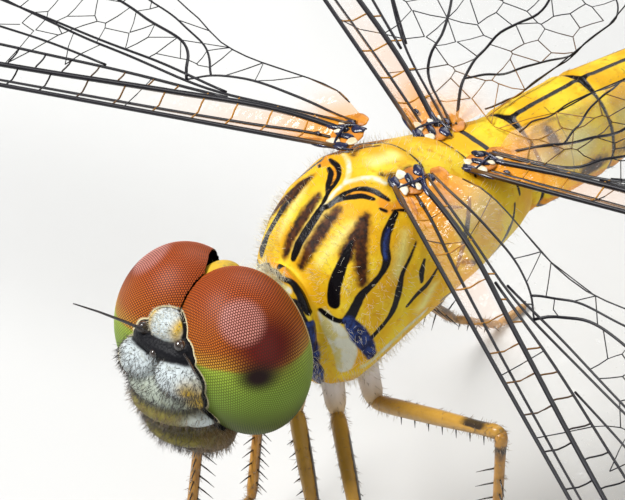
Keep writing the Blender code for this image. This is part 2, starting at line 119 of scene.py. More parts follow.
# Markings of the trunk's left side: points x, y, z and half the mark's width there
BLACK_MARKS = (
    ((0, -3.50, 1.10, .08), (0, -3.00, 1.35, .13), (0, -2.50, 1.90, .14), (0, -2.15, 2.25, .12)),
    ((1.30, -2.10, 1.95, .06), (1.38, -2.47, 1.53, .13), (1.43, -2.73, 1.15, .17), (1.46, -2.90, .80, .19),
     (1.52, -2.95, .49, .19)),
    ((1.66, -.83, 2.48, .09), (1.77, -1.11, 2.27, .12), (1.87, -1.34, 2.04, .14), (2.01, -1.49, 1.80, .14),
     (2.16, -1.55, 1.52, .12), (2.20, -1.80, 1.17, .08), (2.14, -2.12, .93, .09), (2.04, -2.39, .71, .12),
     (1.99, -2.55, .40, .14), (1.93, -2.75, .03, .16)),
    ((2.36, -.61, 1.70, .03), (2.43, -.88, 1.35, .05), (2.47, -1.23, .88, .07), (2.50, -1.33, .59, .12),
     (2.51, -1.51, .02, .11), (2.46, -1.75, -.39, .10), (2.31, -2.18, -.76, .09), (2.13, -2.48, -.95, .09)),
    ((2.62, .10, .70, .03), (2.66, -.40, .20, .07), (2.62, -.87, -.07, .12), (2.57, -1.11, -.31, .07)),
    ((2.55, -.50, 1.10, .05), (2.62, -.64, .80, .10), (2.62, -.67, .43, .06)),
    ((0, -3.68, 1.08, .06), (.29, -3.67, 1.03, .07), (.58, -3.56, .98, .09), (.94, -3.49, .75, .15),
     (1.16, -3.48, .44, .18), (1.22, -3.39, .28, .15)),
    ((.97, -3.90, .50, .20), (1.34, -3.75, -.22, .20), (1.30, -3.60, -1.20, .16), (.91, -3.50, -2.20, .12)),
    ((.20, -1.78, 2.54, .04), (.45, -1.46, 2.69, .09), (.75, -1.17, 2.77, .10), (1.00, -1.06, 2.76, .06)),
    ((.02, -2.15, 2.26, .07), (.16, -1.80, 2.50, .08), (.24, -1.45, 2.69, .07), (.42, -1.14, 2.82, .07),
     (.80, -.92, 2.88, .08), (1.08, -.86, 2.82, .08), (1.30, -.78, 2.72, .05)),
    ((0, -4.05, .45, .16), (.55, -4.00, .35, .16)),
    ((1.05, -.35, 2.98, .06), (1.60, -.10, 2.85, .07), (1.75, .65, 2.78, .06), (1.30, 1.15, 2.88, .05)),
    ((.10, .95, 3.00, .04), (.75, .85, 3.00, .05), (1.15, .60, 2.97, .05)),
    ((.08, 2.60, 2.70, .04), (.80, 2.50, 2.66, .05), (1.35, 2.30, 2.55, .05)),
    ((1.90, 1.60, 2.25, .06), (2.20, 1.20, 1.55, .09), (2.40, .85, .80, .10), (2.45, .60, .00, .07)),
    ((1.80, 3.05, 1.20, .05), (1.85, 2.60, .20, .10), (1.80, 2.10, -.60, .07)),
    ((2.20, .35, -1.20, .10), (1.95, 1.30, -1.20, .10)),
    ((1.33, -1.10, 2.60, .05), (1.48, -1.02, 2.56, .05)),
    ((1.14, -3.36, .34, .06), (1.36, -3.18, .10, .08), (1.64, -3.00, -.02, .08), (1.93, -2.75, -.02, .09)),
    ((1.62, -.90, 2.62, .03), (1.90, -.20, 2.40, .08), (1.92, .60, 2.20, .08), (1.90, 1.20, 1.98, .04)),
    ((0, 3.28, 2.44, .09), (.70, 3.32, 2.38, .08), (1.30, 3.36, 2.10, .06), (1.75, 3.40, 1.30, .05)),
)
BROWN_MARKS = (
    ((.34, -3.12, 1.12, .12), (.38, -2.71, 1.68, .20), (.40, -2.23, 2.15, .20), (.42, -1.88, 2.42, .13)),
    ((1.20, -1.62, 2.38, .12), (1.28, -1.98, 2.06, .17), (1.36, -2.35, 1.68, .21)),
    ((1.21, -1.50, 2.46, .12), (1.36, -1.78, 2.18, .20), (1.59, -2.03, 1.83, .21), (1.81, -2.19, 1.44, .20),
     (1.97, -2.28, 1.05, .14)),
    ((.60, -.45, 3.00, .06), (.85, -.05, 3.02, .08), (.70, .45, 3.02, .06)),
    ((2.54, .90, .30, .10), (2.46, 1.35, -.20, .12)),
    ((1.80, -2.40, -2.20, -.10), (2.00, -1.60, -2.05, -.06), (2.10, -.80, -1.80, -.06), (2.10, .40, -1.50, -.10)),
)
# Painted blue sheen on the glossy black: a painted reflection
PAINTED_BLUE_SHEEN_MARKS = (
    ((1.80, -1.20, 2.20, .04), (1.90, -1.36, 2.00, .07), (2.03, -1.49, 1.78, .07), (2.15, -1.58, 1.50, .04)),
    ((1.93, -2.75, -.02, .16), (2.08, -2.57, -.43, .26), (2.24, -2.29, -1.14, .22), (2.20, -2.15, -1.45, .14)),
    ((1.34, -3.53, -.22, .24), (1.18, -3.35, -1.47, .24), (.91, -3.10, -2.57, .20)),
)
CREAM_MARKS = (
    ((1.34, -3.16, .05, .18), (1.60, -3.02, -.40, .34), (1.86, -2.84, -1.00, .36), (1.80, -2.80, -1.60, .24)),
    ((.30, -3.84, .90, .08), (.65, -3.76, .80, .10)),
    ((1.95, -2.30, -1.75, .10), (2.10, -1.75, -1.55, .13), (2.20, -1.10, -1.30, .12), (2.25, -.40, -1.05, .08)),
    ((0, -2.14, 2.26, .02), (0, -1.72, 2.55, .05), (0, -1.25, 2.80, .08), (.20, -.98, 2.92, .07),
     (.45, -.78, 2.96, .06), (.90, -.58, 2.94, .05)),
)
# Painted sheen: pale, soft-edged patches where the trunk's gloss catches the light
PAINTED_SHEEN_MARKS = (
    ((.80, -2.90, 1.32, .02), (.92, -2.52, 1.75, .08), (1.00, -2.15, 2.10, .10), (1.05, -1.83, 2.30, .05)),
    ((.12, -3.00, 1.35, .02), (.16, -2.40, 2.00, .03), (.20, -2.05, 2.32, .03)),
    ((2.00, -.80, 1.95, .05), (2.20, -1.05, 1.60, .14), (2.36, -1.35, 1.00, .12)),
    ((2.55, -.20, .00, .10), (2.45, -.60, -.70, .20)),
    ((0, -.20, 3.05, .20), (0, .40, 3.05, .20)),
)
ORANGE_MARKS = (
    ((1.45, -3.14, -.30, .05), (1.55, -3.08, -.55, .06)),
    ((.22, -1.62, 2.63, .05), (.52, -1.24, 2.80, .12), (.85, -.98, 2.85, .10)),
    ((0, -3.50, 1.06, .08), (.50, -3.44, 1.04, .08), (.90, -3.36, .82, .07), (1.12, -3.30, .55, .06)),
    # Under the wing bases: soft orange skin together with painted shade under the wings.
    ((1.20, -.90, 2.72, .16), (1.45, -.95, 2.60, .16), (1.62, -.60, 2.62, .22), (1.62, .00, 2.66, .34),
     (1.66, .70, 2.62, .34), (1.60, 1.30, 2.55, .24)),
)

# Keel, arms, seams and collar that stand over or sink into the trunk: marks, reach and height
TRUNK_RIDGES = (
    (BLACK_MARKS[:1], 0.10, 0.06), (CREAM_MARKS[3:4], 0.08, 0.06),
    ((BLACK_MARKS[3], BLACK_MARKS[4], BLACK_MARKS[13]), 0.10, -0.05), (BLACK_MARKS[6:7], 0.06, -0.04),
)
# Domes and hollows of the back: middle, reach and height
TRUNK_DOMES = (
    ((0.55, -.10, 3.0), (.55, .60, .5), 0.14), ((0.0, .70, 3.0), (.7, .35, .5), 0.10),
    ((0.6, 1.75, 2.9), (.6, .6, .5), 0.10), ((1.35, .65, 2.9), (.3, .7, .5), -0.12),
    ((.75, -.95, 2.9), (.35, .25, .5), -0.05), ((0, 2.70, 2.7), (1.2, .20, .5), -0.06),
)

# Abdomen, as in the solids
ABDOMEN_START, ABDOMEN_RISE, ABDOMEN_FRONT = (0.0, 4.16, 0.72), 2.0, (1.40, 1.38)
ABDOMEN_SEGMENTS = (
    (1.1, 1.48, 1.50), (1.9, 1.42, 1.50), (3.4, 1.12, 1.15), (3.7, 1.15, 1.08), (3.7, 1.22, 1.12),
    (3.6, 1.26, 1.15), (3.4, 1.28, 1.15), (2.6, 1.18, 1.05), (1.9, 0.95, 0.85), (1.2, 0.68, 0.62),
)
ABDOMEN_SQUARENESS = 2.1
ABDOMEN_ROWS, ABDOMEN_ROUND = 430, 72
ABDOMEN_INSIDE = 0.35   # how far its skin starts inside the thorax
ABDOMEN_CLEAR = 0.02    # how far its skin lies inside the solids
CERCUS_LENGTH = 1.4
FIRST_JOINT = 0.45      # where the first ring shows
ABDOMEN_FOLDS = np.array((1.45, 4.30, 7.70))
ABDOMEN_SPOTS = {0: ((-0.05, 1.00, 0.13, 0.13), (1.05, 0.80, 0.16, 0.30)), 1: ((2.2, 1.75, 0.50, 0.18),)}

# Wings, as in the solids, with their main veins as (out, back) from the root
FOREWING = dict(root=(1.20, -0.62, 2.92), seat=(0, 0.05, -0.05), length=32.0, chord=7.2,
                droop=10.5, sweep=17.5, pitch=13.0, tip=0.62,
                widths=((0.00, 0.20), (0.05, 0.31), (0.14, 0.38), (0.22, 0.55), (0.35, 0.84), (0.50, 0.97),
                        (0.64, 1.00), (0.80, 0.96), (1.00, 0.90)))
HINDWING = dict(root=(1.20, 1.72, 2.62), seat=(0, 0.42, -0.50), length=31.0, chord=9.6,
                droop=-4.0, sweep=-18.0, pitch=2.0, tip=0.60,
                widths=((0.00, 0.22), (0.05, 0.58), (0.10, 0.82), (0.18, 0.98), (0.27, 1.00),
                        (0.42, 0.94), (0.60, 0.84), (0.80, 0.74), (1.00, 0.66)))
LEADING_BEND, APEX_SHARE = 0.72, 0.42
SEAT_REACH = 6.0        # how far out a wing follows its seat, the shift of its root on the drawn trunk
FORE_VEINS = {
    "subcosta": (0.050, ((0, .45), (1, .50), (3, .42), (6, .34), (10, .30), (14, .24), (15.6, .12), (16.0, .03))),
    "radius": (0.085, ((0, .70), (1, .84), (2.5, 1.0), (6, .95), (10, .85), (16, .80), (22, .74), (26, .78),
                       (29, 1.05), (31, 1.9))),
    "sector": (0.045, ((4.2, 1.15), (7, 1.40), (11, 1.55), (16, 1.70), (22, 1.95), (27, 2.25), (30.5, 3.0))),
    "branch": (0.035, ((8.5, 1.55), (12, 2.15), (16, 2.75), (21, 3.35), (26, 4.00), (29.3, 4.6))),
    "media": (0.042, ((0, .95), (2.7, 1.20), (4.4, 1.32), (7, 1.75), (10, 2.45), (14, 3.55), (18, 4.9),
                      (20.5, 6.1), (21.6, 7.1))),
    "media_front": (0.038, ((4.4, 1.40), (8, 2.15), (12, 3.00), (16, 3.85), (20, 4.75), (24, 5.7), (26.0, 6.5))),
    "cubitus": (0.045, ((5.8, 1.56), (6.4, 2.60), (8.5, 3.55), (11, 4.50), (13.5, 5.6), (15.2, 6.8))),
    "anal": (0.045, ((0, 1.10), (1.64, 1.55), (2.5, 1.70), (4.2, 1.88), (5.1, 1.79), (5.8, 1.56))),
    "anal_rear": (0.035, ((5.1, 1.79), (5.8, 2.70), (7.2, 3.55), (9.0, 4.35), (10.6, 5.5))),
}
HIND_VEINS = {
    "subcosta": (0.050, ((0, .42), (3, .42), (6, .36), (9, .28), (11.6, .14), (12.2, .03))),
    "radius": (0.085, ((0, .72), (3, .92), (7, .88), (12, .82), (19, .76), (25, .85), (28, 1.2), (30, 2.0))),
    "sector": (0.045, ((3.4, 1.15), (7, 1.40), (12, 1.65), (18, 1.95), (24, 2.35), (29, 3.4))),
    "branch": (0.035, ((7.5, 1.60), (12, 2.40), (17, 3.20), (22, 3.95), (26, 4.7), (28.3, 5.3))),
    "media": (0.042, ((0, .95), (3.4, 1.30), (6, 1.95), (9, 2.95), (13, 4.40), (16, 6.0), (17.6, 7.7))),
    "media_front": (0.038, ((3.6, 1.40), (7, 2.20), (12, 3.45), (17, 4.60), (21, 5.7), (23.6, 6.7))),
    "cubitus": (0.045, ((0, 1.10), (2.6, 1.60), (3.6, 2.50), (6, 4.00), (9, 5.70), (11.5, 7.4), (12.4, 8.9))),
    "anal": (0.045, ((0, 1.25), (1.6, 2.20), (2.8, 3.60), (3.6, 5.60), (5.2, 6.6), (7.0, 7.3), (8.4, 8.2))),
    "loop": (0.035, ((1.6, 2.20), (1.4, 4.20), (1.8, 6.4), (3.0, 7.4), (4.4, 7.0), (5.2, 6.6))),
    "margin": (0.030, ((0.2, 2.2), (.5, 4.6), (1.0, 7.0), (2.2, 8.9))),
}
# Where along the span the nodus lies, and where the stigma starts and ends
NODUS = {"forewing": 16.0, "hindwing": 12.2}
STIGMA = {"forewing": (25.6, 28.4), "hindwing": (24.4, 27.2)}
CELL = 0.80             # spacing of the small cells
CELL_ROW, CELL_SCATTER = 0.87, 0.16     # the rows' spacing and the scatter, as shares of it
CELL_SNAP = 0.20        # a cell's corner as near as this to a long vein lies on it
CELL_SHORTEST, CELL_LONGEST = 0.08, 2.2 * CELL
# Radii of the thin veins, and how far a cross vein leans outward
CROSS_RADIUS, CELL_RADIUS, REAR_RADIUS, NODUS_RADIUS = 0.026, 0.016, 0.022, 0.075
CROSS_LEAN, CROSS_SPREAD = 0.05, (0.88, 1.12)
COSTA_RADII = ((0, .5, 1), (.070, .055, .035))
WING_ROWS, WING_COLUMNS = 90, 34
VEIN_COLOUR_REACH = 4.0 # how far out from the root a long vein is amber

# Hinges: plates as colour, middle and radii, and struts as places, along the left wing's axes
HINGE_PLATES = (
    ("black", (.34, .03, .08), (.48, .08, .07)), ("black", (-.14, .10, .09), (.20, .13, .08)),
    ("black", (-.04, .50, .07), (.26, .09, .07)), ("black", (.40, .76, .06), (.38, .07, .07)),
    ("black", (-.26, .82, .05), (.20, .12, .07)), ("black", (.12, 1.04, .02), (.16, .08, .06)),
    ("cream", (.16, .24, .08), (.20, .10, .05)), ("cream", (-.34, .36, .06), (.15, .13, .05)),
    ("cream", (.24, .62, .06), (.14, .07, .05)), ("cream", (.34, .94, .03), (.11, .06, .05)),
    ("orange", (.62, 1.04, -.03), (.50, .16, .04)), ("orange", (.72, .20, .00), (.42, .09, .04)),
    ("orange", (.10, 1.30, -.10), (.36, .20, .06)), ("orange", (-.06, .50, .00), (.42, .44, .07)),
    ("black", (.84, .46, .03), (.10, .05, .04)),
)
HINGE_STRUTS = (
    ((-.50, .12, .00), (-.25, -.02, .12), (.00, .02, .13), (.30, .06, .09)),
    ((-.45, .95, -.02), (-.12, .90, .10), (.18, .82, .10), (.60, .76, .05)),
    ((.05, -.02, .08), (.10, .35, .13), (.10, .80, .10), (.05, 1.12, .00)),
)
STRUT_RADII = 0.042 - 0.015 * abs(np.linspace(-1, 1, 9))

# Legs, as in the solids: lengths of thigh and shin, and where the left hips start and end
LEG_LENGTHS = {"fore": (3.25, 3.95), "mid": (4.2, 4.2), "hind": (5.3, 6.1)}
HIPS = {"fore": ((0.60, -3.60, -1.50), (0.95, -3.80, -3.00)),
        "mid": ((0.90, -2.55, -2.20), (1.40, -2.75, -3.35)),
        "hind": ((1.10, -1.55, -2.20), (1.60, -1.60, -3.45))}
# Each leg's ankle, the way its knee points, and where its sole and toe lie on the floor
STANCE = {
    "fore_left": ((3.60, -6.40, -8.70), (1.0, 0.0, 0.5), (4.00, -7.10), (4.40, -7.80)),
    "fore_right": ((-2.70, -4.70, -9.00), (-1.0, 0.3, 0.0), (-3.00, -5.40), (-3.40, -6.20)),
    "mid_left": ((6.00, -4.90, -8.40), (0.5, -0.5, 1.0), (6.60, -5.20), (7.40, -5.50)),
    "mid_right": ((-2.80, -2.40, -9.00), (-1.0, 0.9, 0.3), (-3.30, -2.80), (-4.00, -3.20)),
    "hind_left": ((6.10, -1.30, -7.70), (0.7, 0.0, 1.0), (6.60, -0.50), (7.20, 0.30)),
    "hind_right": ((-5.00, 6.90, -8.60), (-0.6, 0.0, 1.0), (-5.20, 8.80), (-5.40, 10.00)),
}
TARSUS_RADIUS = 0.13    # half the foot's thickness, which is how high its middle lies over the floor
# Hip, thigh, shin and the foot's two parts: the shares of the length where the radii are given, the
# radii, how pale, how many sides, and how dark the two ends
LIMBS = (
    ((0, .25, .8, 1), (.28, .33, .29, .19), 1.0, 16, (0.0, 0.1)),
    ((0, .04, .12, .5, .88, .95, 1), (.17, .21, .235, .225, .18, .21, .14), 0.35, 16, (0.0, 0.25)),
    ((0, .03, .10, .5, .93, 1), (.14, .19, .15, .14, .16, .12), 0.0, 14, (0.1, 0.35)),
    ((0, .15, .45, .5, .55, .95, 1), (.09, .13, .12, .08, .12, .13, .09), 0.0, 12, (0.5, 0.6)),
    ((0, .1, .9, 1), (.09, .13, .12, .07), 0.0, 12, (0.6, 0.8)),
)
THIGH, SHIN = 1, 2
# Spines of the thigh, shin and foot: length, rows and how many in a row; the rows' turns in degrees
LEG_SPINES = ((0.30, 2, 7), (0.50, 3, 9), (0.20, 2, 4))
SPINE_TURNS = (-38, 38, 150)

HAIR_BEND_AT = 0.55
HAIR_SPREAD = (0.6, 1.3)                # shortest and longest, as shares of the length
HAIR_BOW, HAIR_SCATTER, HAIR_DEPTH = 0.22, 0.03, 0.01
TRACE = 1e-6            # a hair's slight chance outside its patch
# The faces of a hair with three corners at its root, three at its bend and one at its tip, and its
# corners' places in the OFBake map
HAIR_CELL = np.array([(0, 1, 4), (0, 4, 3), (1, 2, 5), (1, 5, 4), (2, 0, 3), (2, 3, 5), (3, 4, 6), (4, 5, 6),
                      (5, 3, 6)])
HAIR_PATCH = np.array([(-1, -1), (0, -1), (1, -1), (-1, 0), (0, 0), (1, 0), (0, 1)]) * 0.0015

# Camera: turned round the thorax's middle, which it sees a little right of the frame's centre
VIEW_AZIMUTH, VIEW_ELEVATION, VIEW_ROLL = 50.7, 36.4, -0.8
VIEW_DISTANCE, VIEW_LENS = 170.0, 365.24
VIEW_ASIDE, VIEW_UP = -1.842, -0.032

FLOOR_HALF = 15.0       # metres

# Lights: name, place from the thorax's middle and size in metres, and power in watts
STUDIO_LIGHTS = (
    ("key", (-0.14, -0.22, 0.36), 0.20, 2.8), ("fill", (0.40, 0.02, 0.20), 0.30, 0.5),
    ("rim", (-0.20, 0.30, 0.30), 0.30, 0.9),
)


# ---------------------------------------------------------------- geometry

def unit(vectors):
    """Vectors brought to length 1."""
    return vectors / np.linalg.norm(vectors, axis=-1, keepdims=True)


def across(run):
    """Two directions square to each other and to a run."""
    side = unit(np.cross(run, SKEW))
    return side, np.cross(run, side)


def bell(away, reach):
    """1 in the middle, fading smoothly to 0 beyond the reach."""
    return np.exp(-(away / reach) ** 2)


def add_mesh(name, points, faces, finish, slot, nodes=(), smooth=True, fields=None, colours=None):
    """Write a mesh given in millimetres, with its number and colour fields, as a piece of the model."""
    points = np.asarray(points, float)
    faces = [np.asarray(group, np.int64) for group in faces if len(group)]
    first = faces[0]
    a, b, c = (points[first[:, k]] for k in range(3))
    if np.einsum("ij,ij->", a - points.mean(0), np.cross(b - points.mean(0), c - points.mean(0))) < 0:
        faces = [group[:, ::-1] for group in faces]
    counts = np.concatenate([np.full(len(group), group.shape[1]) for group in faces])
    mesh = bpy.data.meshes.new(name)
    mesh.vertices.add(len(points))
    mesh.vertices.foreach_set("co", ((points + MIDDLE) * MM).ravel())
    mesh.loops.add(int(counts.sum()))
    mesh.loops.foreach_set("vertex_index", np.concatenate([group.ravel() for group in faces]))
    mesh.polygons.add(len(counts))
    mesh.polygons.foreach_set("loop_start", np.cumsum(counts) - counts)
    mesh.update(calc_edges=True)
    for key, values in (fields or {}).items():
        mesh.attributes.new(key, "FLOAT", "POINT").data.foreach_set("value", np.asarray(values, float))
    for key, values in (colours or {}).items():
        rgba = np.hstack([values, np.ones((len(values), 1))])
        mesh.attributes.new(key, "FLOAT_COLOR", "POINT").data.foreach_set("color", rgba.ravel())
    if smooth:
        mesh.shade_smooth()
    mesh.materials.append(finish)
    obj = bpy.data.objects.new(name, mesh)
    bpy.context.scene.collection.objects.link(obj)
    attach(obj, "root")
    if nodes:
        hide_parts(*nodes)
    return obj


def join(pieces):
    """Join (points, faces, ...) pieces, each with the same kinds of faces and fields, into one."""
    points, groups, start = [], {}, 0
    for piece in pieces:
        points.append(piece[0])
        for group in piece[1]:
            groups.setdefault(group.shape[1], []).append(group + start)
        start += len(piece[0])
    return np.vstack(points), [np.vstack(group) for group in groups.values()]


def loft(rings):
    """Skin over rings of points (rows, count, 3), with its ends closed."""
    rows, count = rings.shape[:2]
    index = np.arange(rows * count).reshape(rows, count)
    turned = np.roll(index, -1, axis=1)
    quads = np.stack([index[:-1], turned[:-1], turned[1:], index[1:]], -1).reshape(-1, 4)
    points = np.vstack([rings.reshape(-1, 3), rings[0].mean(0), rings[-1].mean(0)])
    low, high = np.full(count, rows * count), np.full(count, rows * count + 1)
    caps = np.vstack([np.stack([turned[0], index[0], low], -1), np.stack([index[-1], turned[-1], high], -1)])
    return points, [quads, caps]


def tube(path, radii, sides=6):
    """Round limb along a path."""
    path, radii = np.asarray(path, float), np.broadcast_to(radii, len(path))
    side, other = across(unit(np.gradient(path, axis=0)))
    turn = np.linspace(0, 2 * np.pi, sides, endpoint=False)
    spokes = side[:, None] * np.cos(turn)[None, :, None] + other[:, None] * np.sin(turn)[None, :, None]
    return loft(path[:, None] + spokes * radii[:, None, None])


def curve_through(points, count):
    """Smooth path through points, evenly parted."""
    points = np.asarray(points, float)
    if len(points) < 3:
        return np.linspace(points[0], points[-1], count)
    lengths = np.concatenate([[0], np.cumsum(np.linalg.norm(np.diff(points, axis=0), axis=1))])
    slopes = np.gradient(points, lengths, axis=0)
    at = np.linspace(0, lengths[-1], count)
    i = np.clip(np.searchsorted(lengths, at, side="right") - 1, 0, len(points) - 2)
    span = (lengths[i + 1] - lengths[i])[:, None]
    t = (at - lengths[i])[:, None] / span
    return ((2 * t ** 3 - 3 * t ** 2 + 1) * points[i] + (t ** 3 - 2 * t ** 2 + t) * span * slopes[i]
            + (3 * t ** 2 - 2 * t ** 3) * points[i + 1] + (t ** 3 - t ** 2) * span * slopes[i + 1])


def ball(middle, radii, level=2):
    """Egg-shaped knob."""
    bm = bmesh.new()
    bmesh.ops.create_icosphere(bm, subdivisions=level, radius=1.0)
    points = np.array([v.co for v in bm.verts])
    faces = np.array([[v.index for v in f.verts] for f in bm.faces])
    bm.free()
    return points * radii + middle, [faces]


def mark_field(points, marks, tree):
    """Distance of each point from the nearest mark's edge, below 0 inside the mark; both sides alike."""
    folded = points.copy()
    folded[:, 0] = abs(folded[:, 0])
    nearest = np.full(len(points), 9.0)
    for mark in marks:
        path = curve_through(np.array(mark)[:, :3], 5 * len(mark))
        width = np.interp(np.linspace(0, 1, len(path)), np.linspace(0, 1, len(mark)), [m[3] for m in mark])
        path = np.array([tree.find_nearest(Vector(p))[0] for p in path])
        for (a, b, wide, narrow) in zip(path, path[1:], width, width[1:]):
            run = b - a
            share = np.clip((folded - a) @ run / max(run @ run, 1e-9), 0, 1)
            away = np.linalg.norm(folded - a - share[:, None] * run, axis=1)
            nearest = np.minimum(nearest, away - wide - (narrow - wide) * share)
    return nearest


def bump_at(points, middle, reach, height):
    """A smooth rise at a place and its mirror image."""
    folded = np.abs(points[:, 0:1]) * (1, 0, 0) + points * (0, 1, 1)
    away = ((folded - middle) / reach) ** 2
    return height * np.exp(-away.sum(1))


def surface(obj):
    """Points in millimetres and normals of a piece."""
    count = len(obj.data.vertices)
    points, normals = np.empty(count * 3), np.empty(count * 3)
    obj.data.vertices.foreach_get("co", points)
    obj.data.vertex_normals.foreach_get("vector", normals)
    return points.reshape(-1, 3) / MM - MIDDLE, normals.reshape(-1, 3)


def coat(name, skin, weights, count, length, radius, lie, tones, places, finish, slot, seed):
    """Hairs over a skin as one mesh: thin bent cones that lean with lie, with an OFBake patch for each."""
    points, normals = skin
    rng = np.random.default_rng(seed)
    weights = np.clip(weights, 0, None)
    picked = rng.choice(len(points), count, p=weights / weights.sum())
    roots, rise = points[picked], normals[picked]
    wild = rng.normal(0, 1, (count, 3))
    run = rise * lie[0] + np.asarray(lie[1]) + wild * lie[2]
    run = unit(run - rise * np.minimum(0, np.einsum("ij,ij->i", run, rise))[:, None])
    roots = roots + np.cross(rise, wild) * HAIR_SCATTER - rise * HAIR_DEPTH
    reach = (length * rng.uniform(*HAIR_SPREAD, count))[:, None]
    bend = np.cross(run, rng.normal(0, 1, (count, 3))) * HAIR_BOW
    side, other = across(run)
    rings = []
    for share, thick in ((0.0, 1.0), (HAIR_BEND_AT, 0.75)):
        spine = roots + (run * share + bend * share ** 2) * reach
        for turn in (0, 2.094, 4.189):
            rings.append(spine + (side * math.cos(turn) + other * math.sin(turn)) * radius * thick)
    rings.append(roots + (run + bend) * reach)
    faces = (np.arange(count)[:, None, None] * len(HAIR_PATCH) + HAIR_CELL).reshape(-1, 3)
    tones = np.broadcast_to(tones, len(points))[picked] + rng.normal(0, 0.08, count)
    along = (0,) * 3 + (HAIR_BEND_AT,) * 3 + (1,)
    obj = add_mesh(name, np.stack(rings, 1).reshape(-1, 3), [faces], finish, slot,
                   fields={"tone": np.repeat(tones, len(along)), "along": np.tile(along, count)})
    spots = (places[picked][:, None] * 0.99 + 0.005 + HAIR_PATCH).reshape(-1, 2)
    order = np.empty(len(obj.data.loops), np.int64)
    obj.data.loops.foreach_get("vertex_index", order)
    obj.data.uv_layers.new(name="OFBake").data.foreach_set("uv", spots[order].ravel())
    return obj


# ---------------------------------------------------------------- materials

class Finish:
    """A Principled material as it is wired, with its coordinates in millimetres."""

    def __init__(self, name, **settings):
        self.material = bpy.data.materials.new(name)
        self.material.use_nodes = True
        self.tree = self.material.node_tree
        self.shader = self.tree.nodes["Principled BSDF"]
        for key, value in settings.items():
            self.shader.inputs[key.replace("_", " ")].default_value = value
        place = self.node("ShaderNodeTexCoord").outputs["Object"]
        self.place = self.node("ShaderNodeVectorMath", {0: place, 1: (1000, 1000, 1000)},
                               operation="MULTIPLY").outputs[0]

    def node(self, kind, inputs=None, **settings):
        """A new node, whose inputs are set or linked."""
        made = self.tree.nodes.new(kind)
        for key, value in settings.items():
            setattr(made, key, value)
        for key, value in (inputs or {}).items():
            if isinstance(value, bpy.types.NodeSocket):
                self.tree.links.new(value, made.inputs[key])
            else:
                made.inputs[key].default_value = value
        return made

    def noise(self, scale, detail=3.0):
        """A soft noise from 0 to 1."""
        inputs = {"Vector": self.place, "Scale": scale, "Detail": detail}
        return self.node("ShaderNodeTexNoise", inputs).outputs[0]

    def waver(self, scale, size):
        """A noise about 0."""
        return self.math("MULTIPLY", self.math("SUBTRACT", self.noise(scale), 0.5), size)

    def field(self, name):
        """A number that the mesh carries at each point."""
        return self.node("ShaderNodeAttribute", attribute_name=name).outputs["Fac"]

    def math(self, how, a, b=0.0):
        """A sum, product or the like of two numbers."""
        return self.node("ShaderNodeMath", {0: a, 1: b}, operation=how).outputs[0]

    def step(self, value, low, high):
        """0 below low and 1 above high, or the reverse where high is the lower."""
        inputs = {"Value": value, "From Min": min(low, high), "From Max": max(low, high),
                  "To Min": float(low > high), "To Max": float(low < high)}
        return self.node("ShaderNodeMapRange", inputs, interpolation_type="SMOOTHSTEP").outputs[0]

    def inside(self, name, edge=0.03, wobble=0.0, scale=5.0):
        """1 inside a mark and 0 outside, with a wavering edge."""
        value = self.field(name)
        if wobble:
            value = self.math("ADD", value, self.waver(scale, wobble))
        return self.step(value, edge, -edge)

    def mix(self, share, a, b):
        """Colour a going over to colour b by the share."""
        made = self.node("ShaderNodeMix", data_type="RGBA")
        for index, value in ((0, share), (6, a), (7, b)):
            if isinstance(value, bpy.types.NodeSocket):
                self.tree.links.new(value, made.inputs[index])
            else:
                made.inputs[index].default_value = value if index == 0 else (*value, 1.0)
        return made.outputs[2]

    def layers(self, colour, rows):
        """Coats of colour over one another, each with the share that it covers."""
        for share, coat_colour in rows:
            colour = self.mix(share, colour, coat_colour)
        return colour

    def wire(self, socket, value):
        """Link a value to the shader."""
        self.tree.links.new(value, self.shader.inputs[socket])

    def bump(self, height, depth):
        """Small relief, with its depth in millimetres."""
        made = self.node("ShaderNodeBump", {"Height": height, "Distance": depth * MM, "Strength": 1.0})
        self.tree.links.new(made.outputs[0], self.shader.inputs["Normal"])


def eye_finish():
    """Red above and green below, darkening to painted shade underneath, every facet ringed darker, under a clear
    gloss, with a painted highlight and a painted dark pseudopupil.
    """
    f = Finish("faceted_eye", Roughness=0.48, Specular_IOR_Level=0.16)
    height = f.math("ADD", f.field("height"), f.waver(1.2, 0.10))
    ring = f.step(f.field("rim"), 0.40, 0.90)
    # Below the border the green darkens to near black at the bottom: painted shade on the eye's underside.
    f.wire("Base Color", f.layers((0.008, 0.013, 0.003), (
        (f.step(height, -2.05, -0.85), (0.20, 0.33, 0.040)),
        (f.step(height, -0.9, -0.12), (0.32, 0.44, 0.045)),
        (f.step(height, -0.10, 0.03), (0.58, 0.30, 0.03)),
        (f.step(height, 0.0, 0.55), (0.52, 0.135, 0.012)),
        (f.step(height, 0.5, 1.6), (0.46, 0.085, 0.012)),
        # Painted dark pseudopupil: a dark red halo of painted shade round its black core.
        (f.step(f.field("pseudopupil_shade"), 1.35, 0.35), (0.13, 0.004, 0.002)),
        # Painted highlight: a pale pink patch high on the eye.
        (f.step(f.field("painted_highlight"), 0.78, 0.45), (0.62, 0.25, 0.20)),
        (f.math("MULTIPLY", ring, f.step(height, -0.4, 0.1)), (0.060, 0.010, 0.005)),
        (f.math("MULTIPLY", ring, f.step(height, 0.0, -0.3)), (0.10, 0.13, 0.015)),
        # The painted pseudopupil's black core, painted shade that the real eye shows only towards the viewer.
        (f.step(f.field("spot"), 0.80, 0.18), (0.012, 0.003, 0.003)),
        (f.inside("edge", 0.03), (0.74, 0.66, 0.40)),
        (f.step(f.field("behind"), 0.0, 0.03), (0.008, 0.007, 0.010)),
    )))
    return f.material


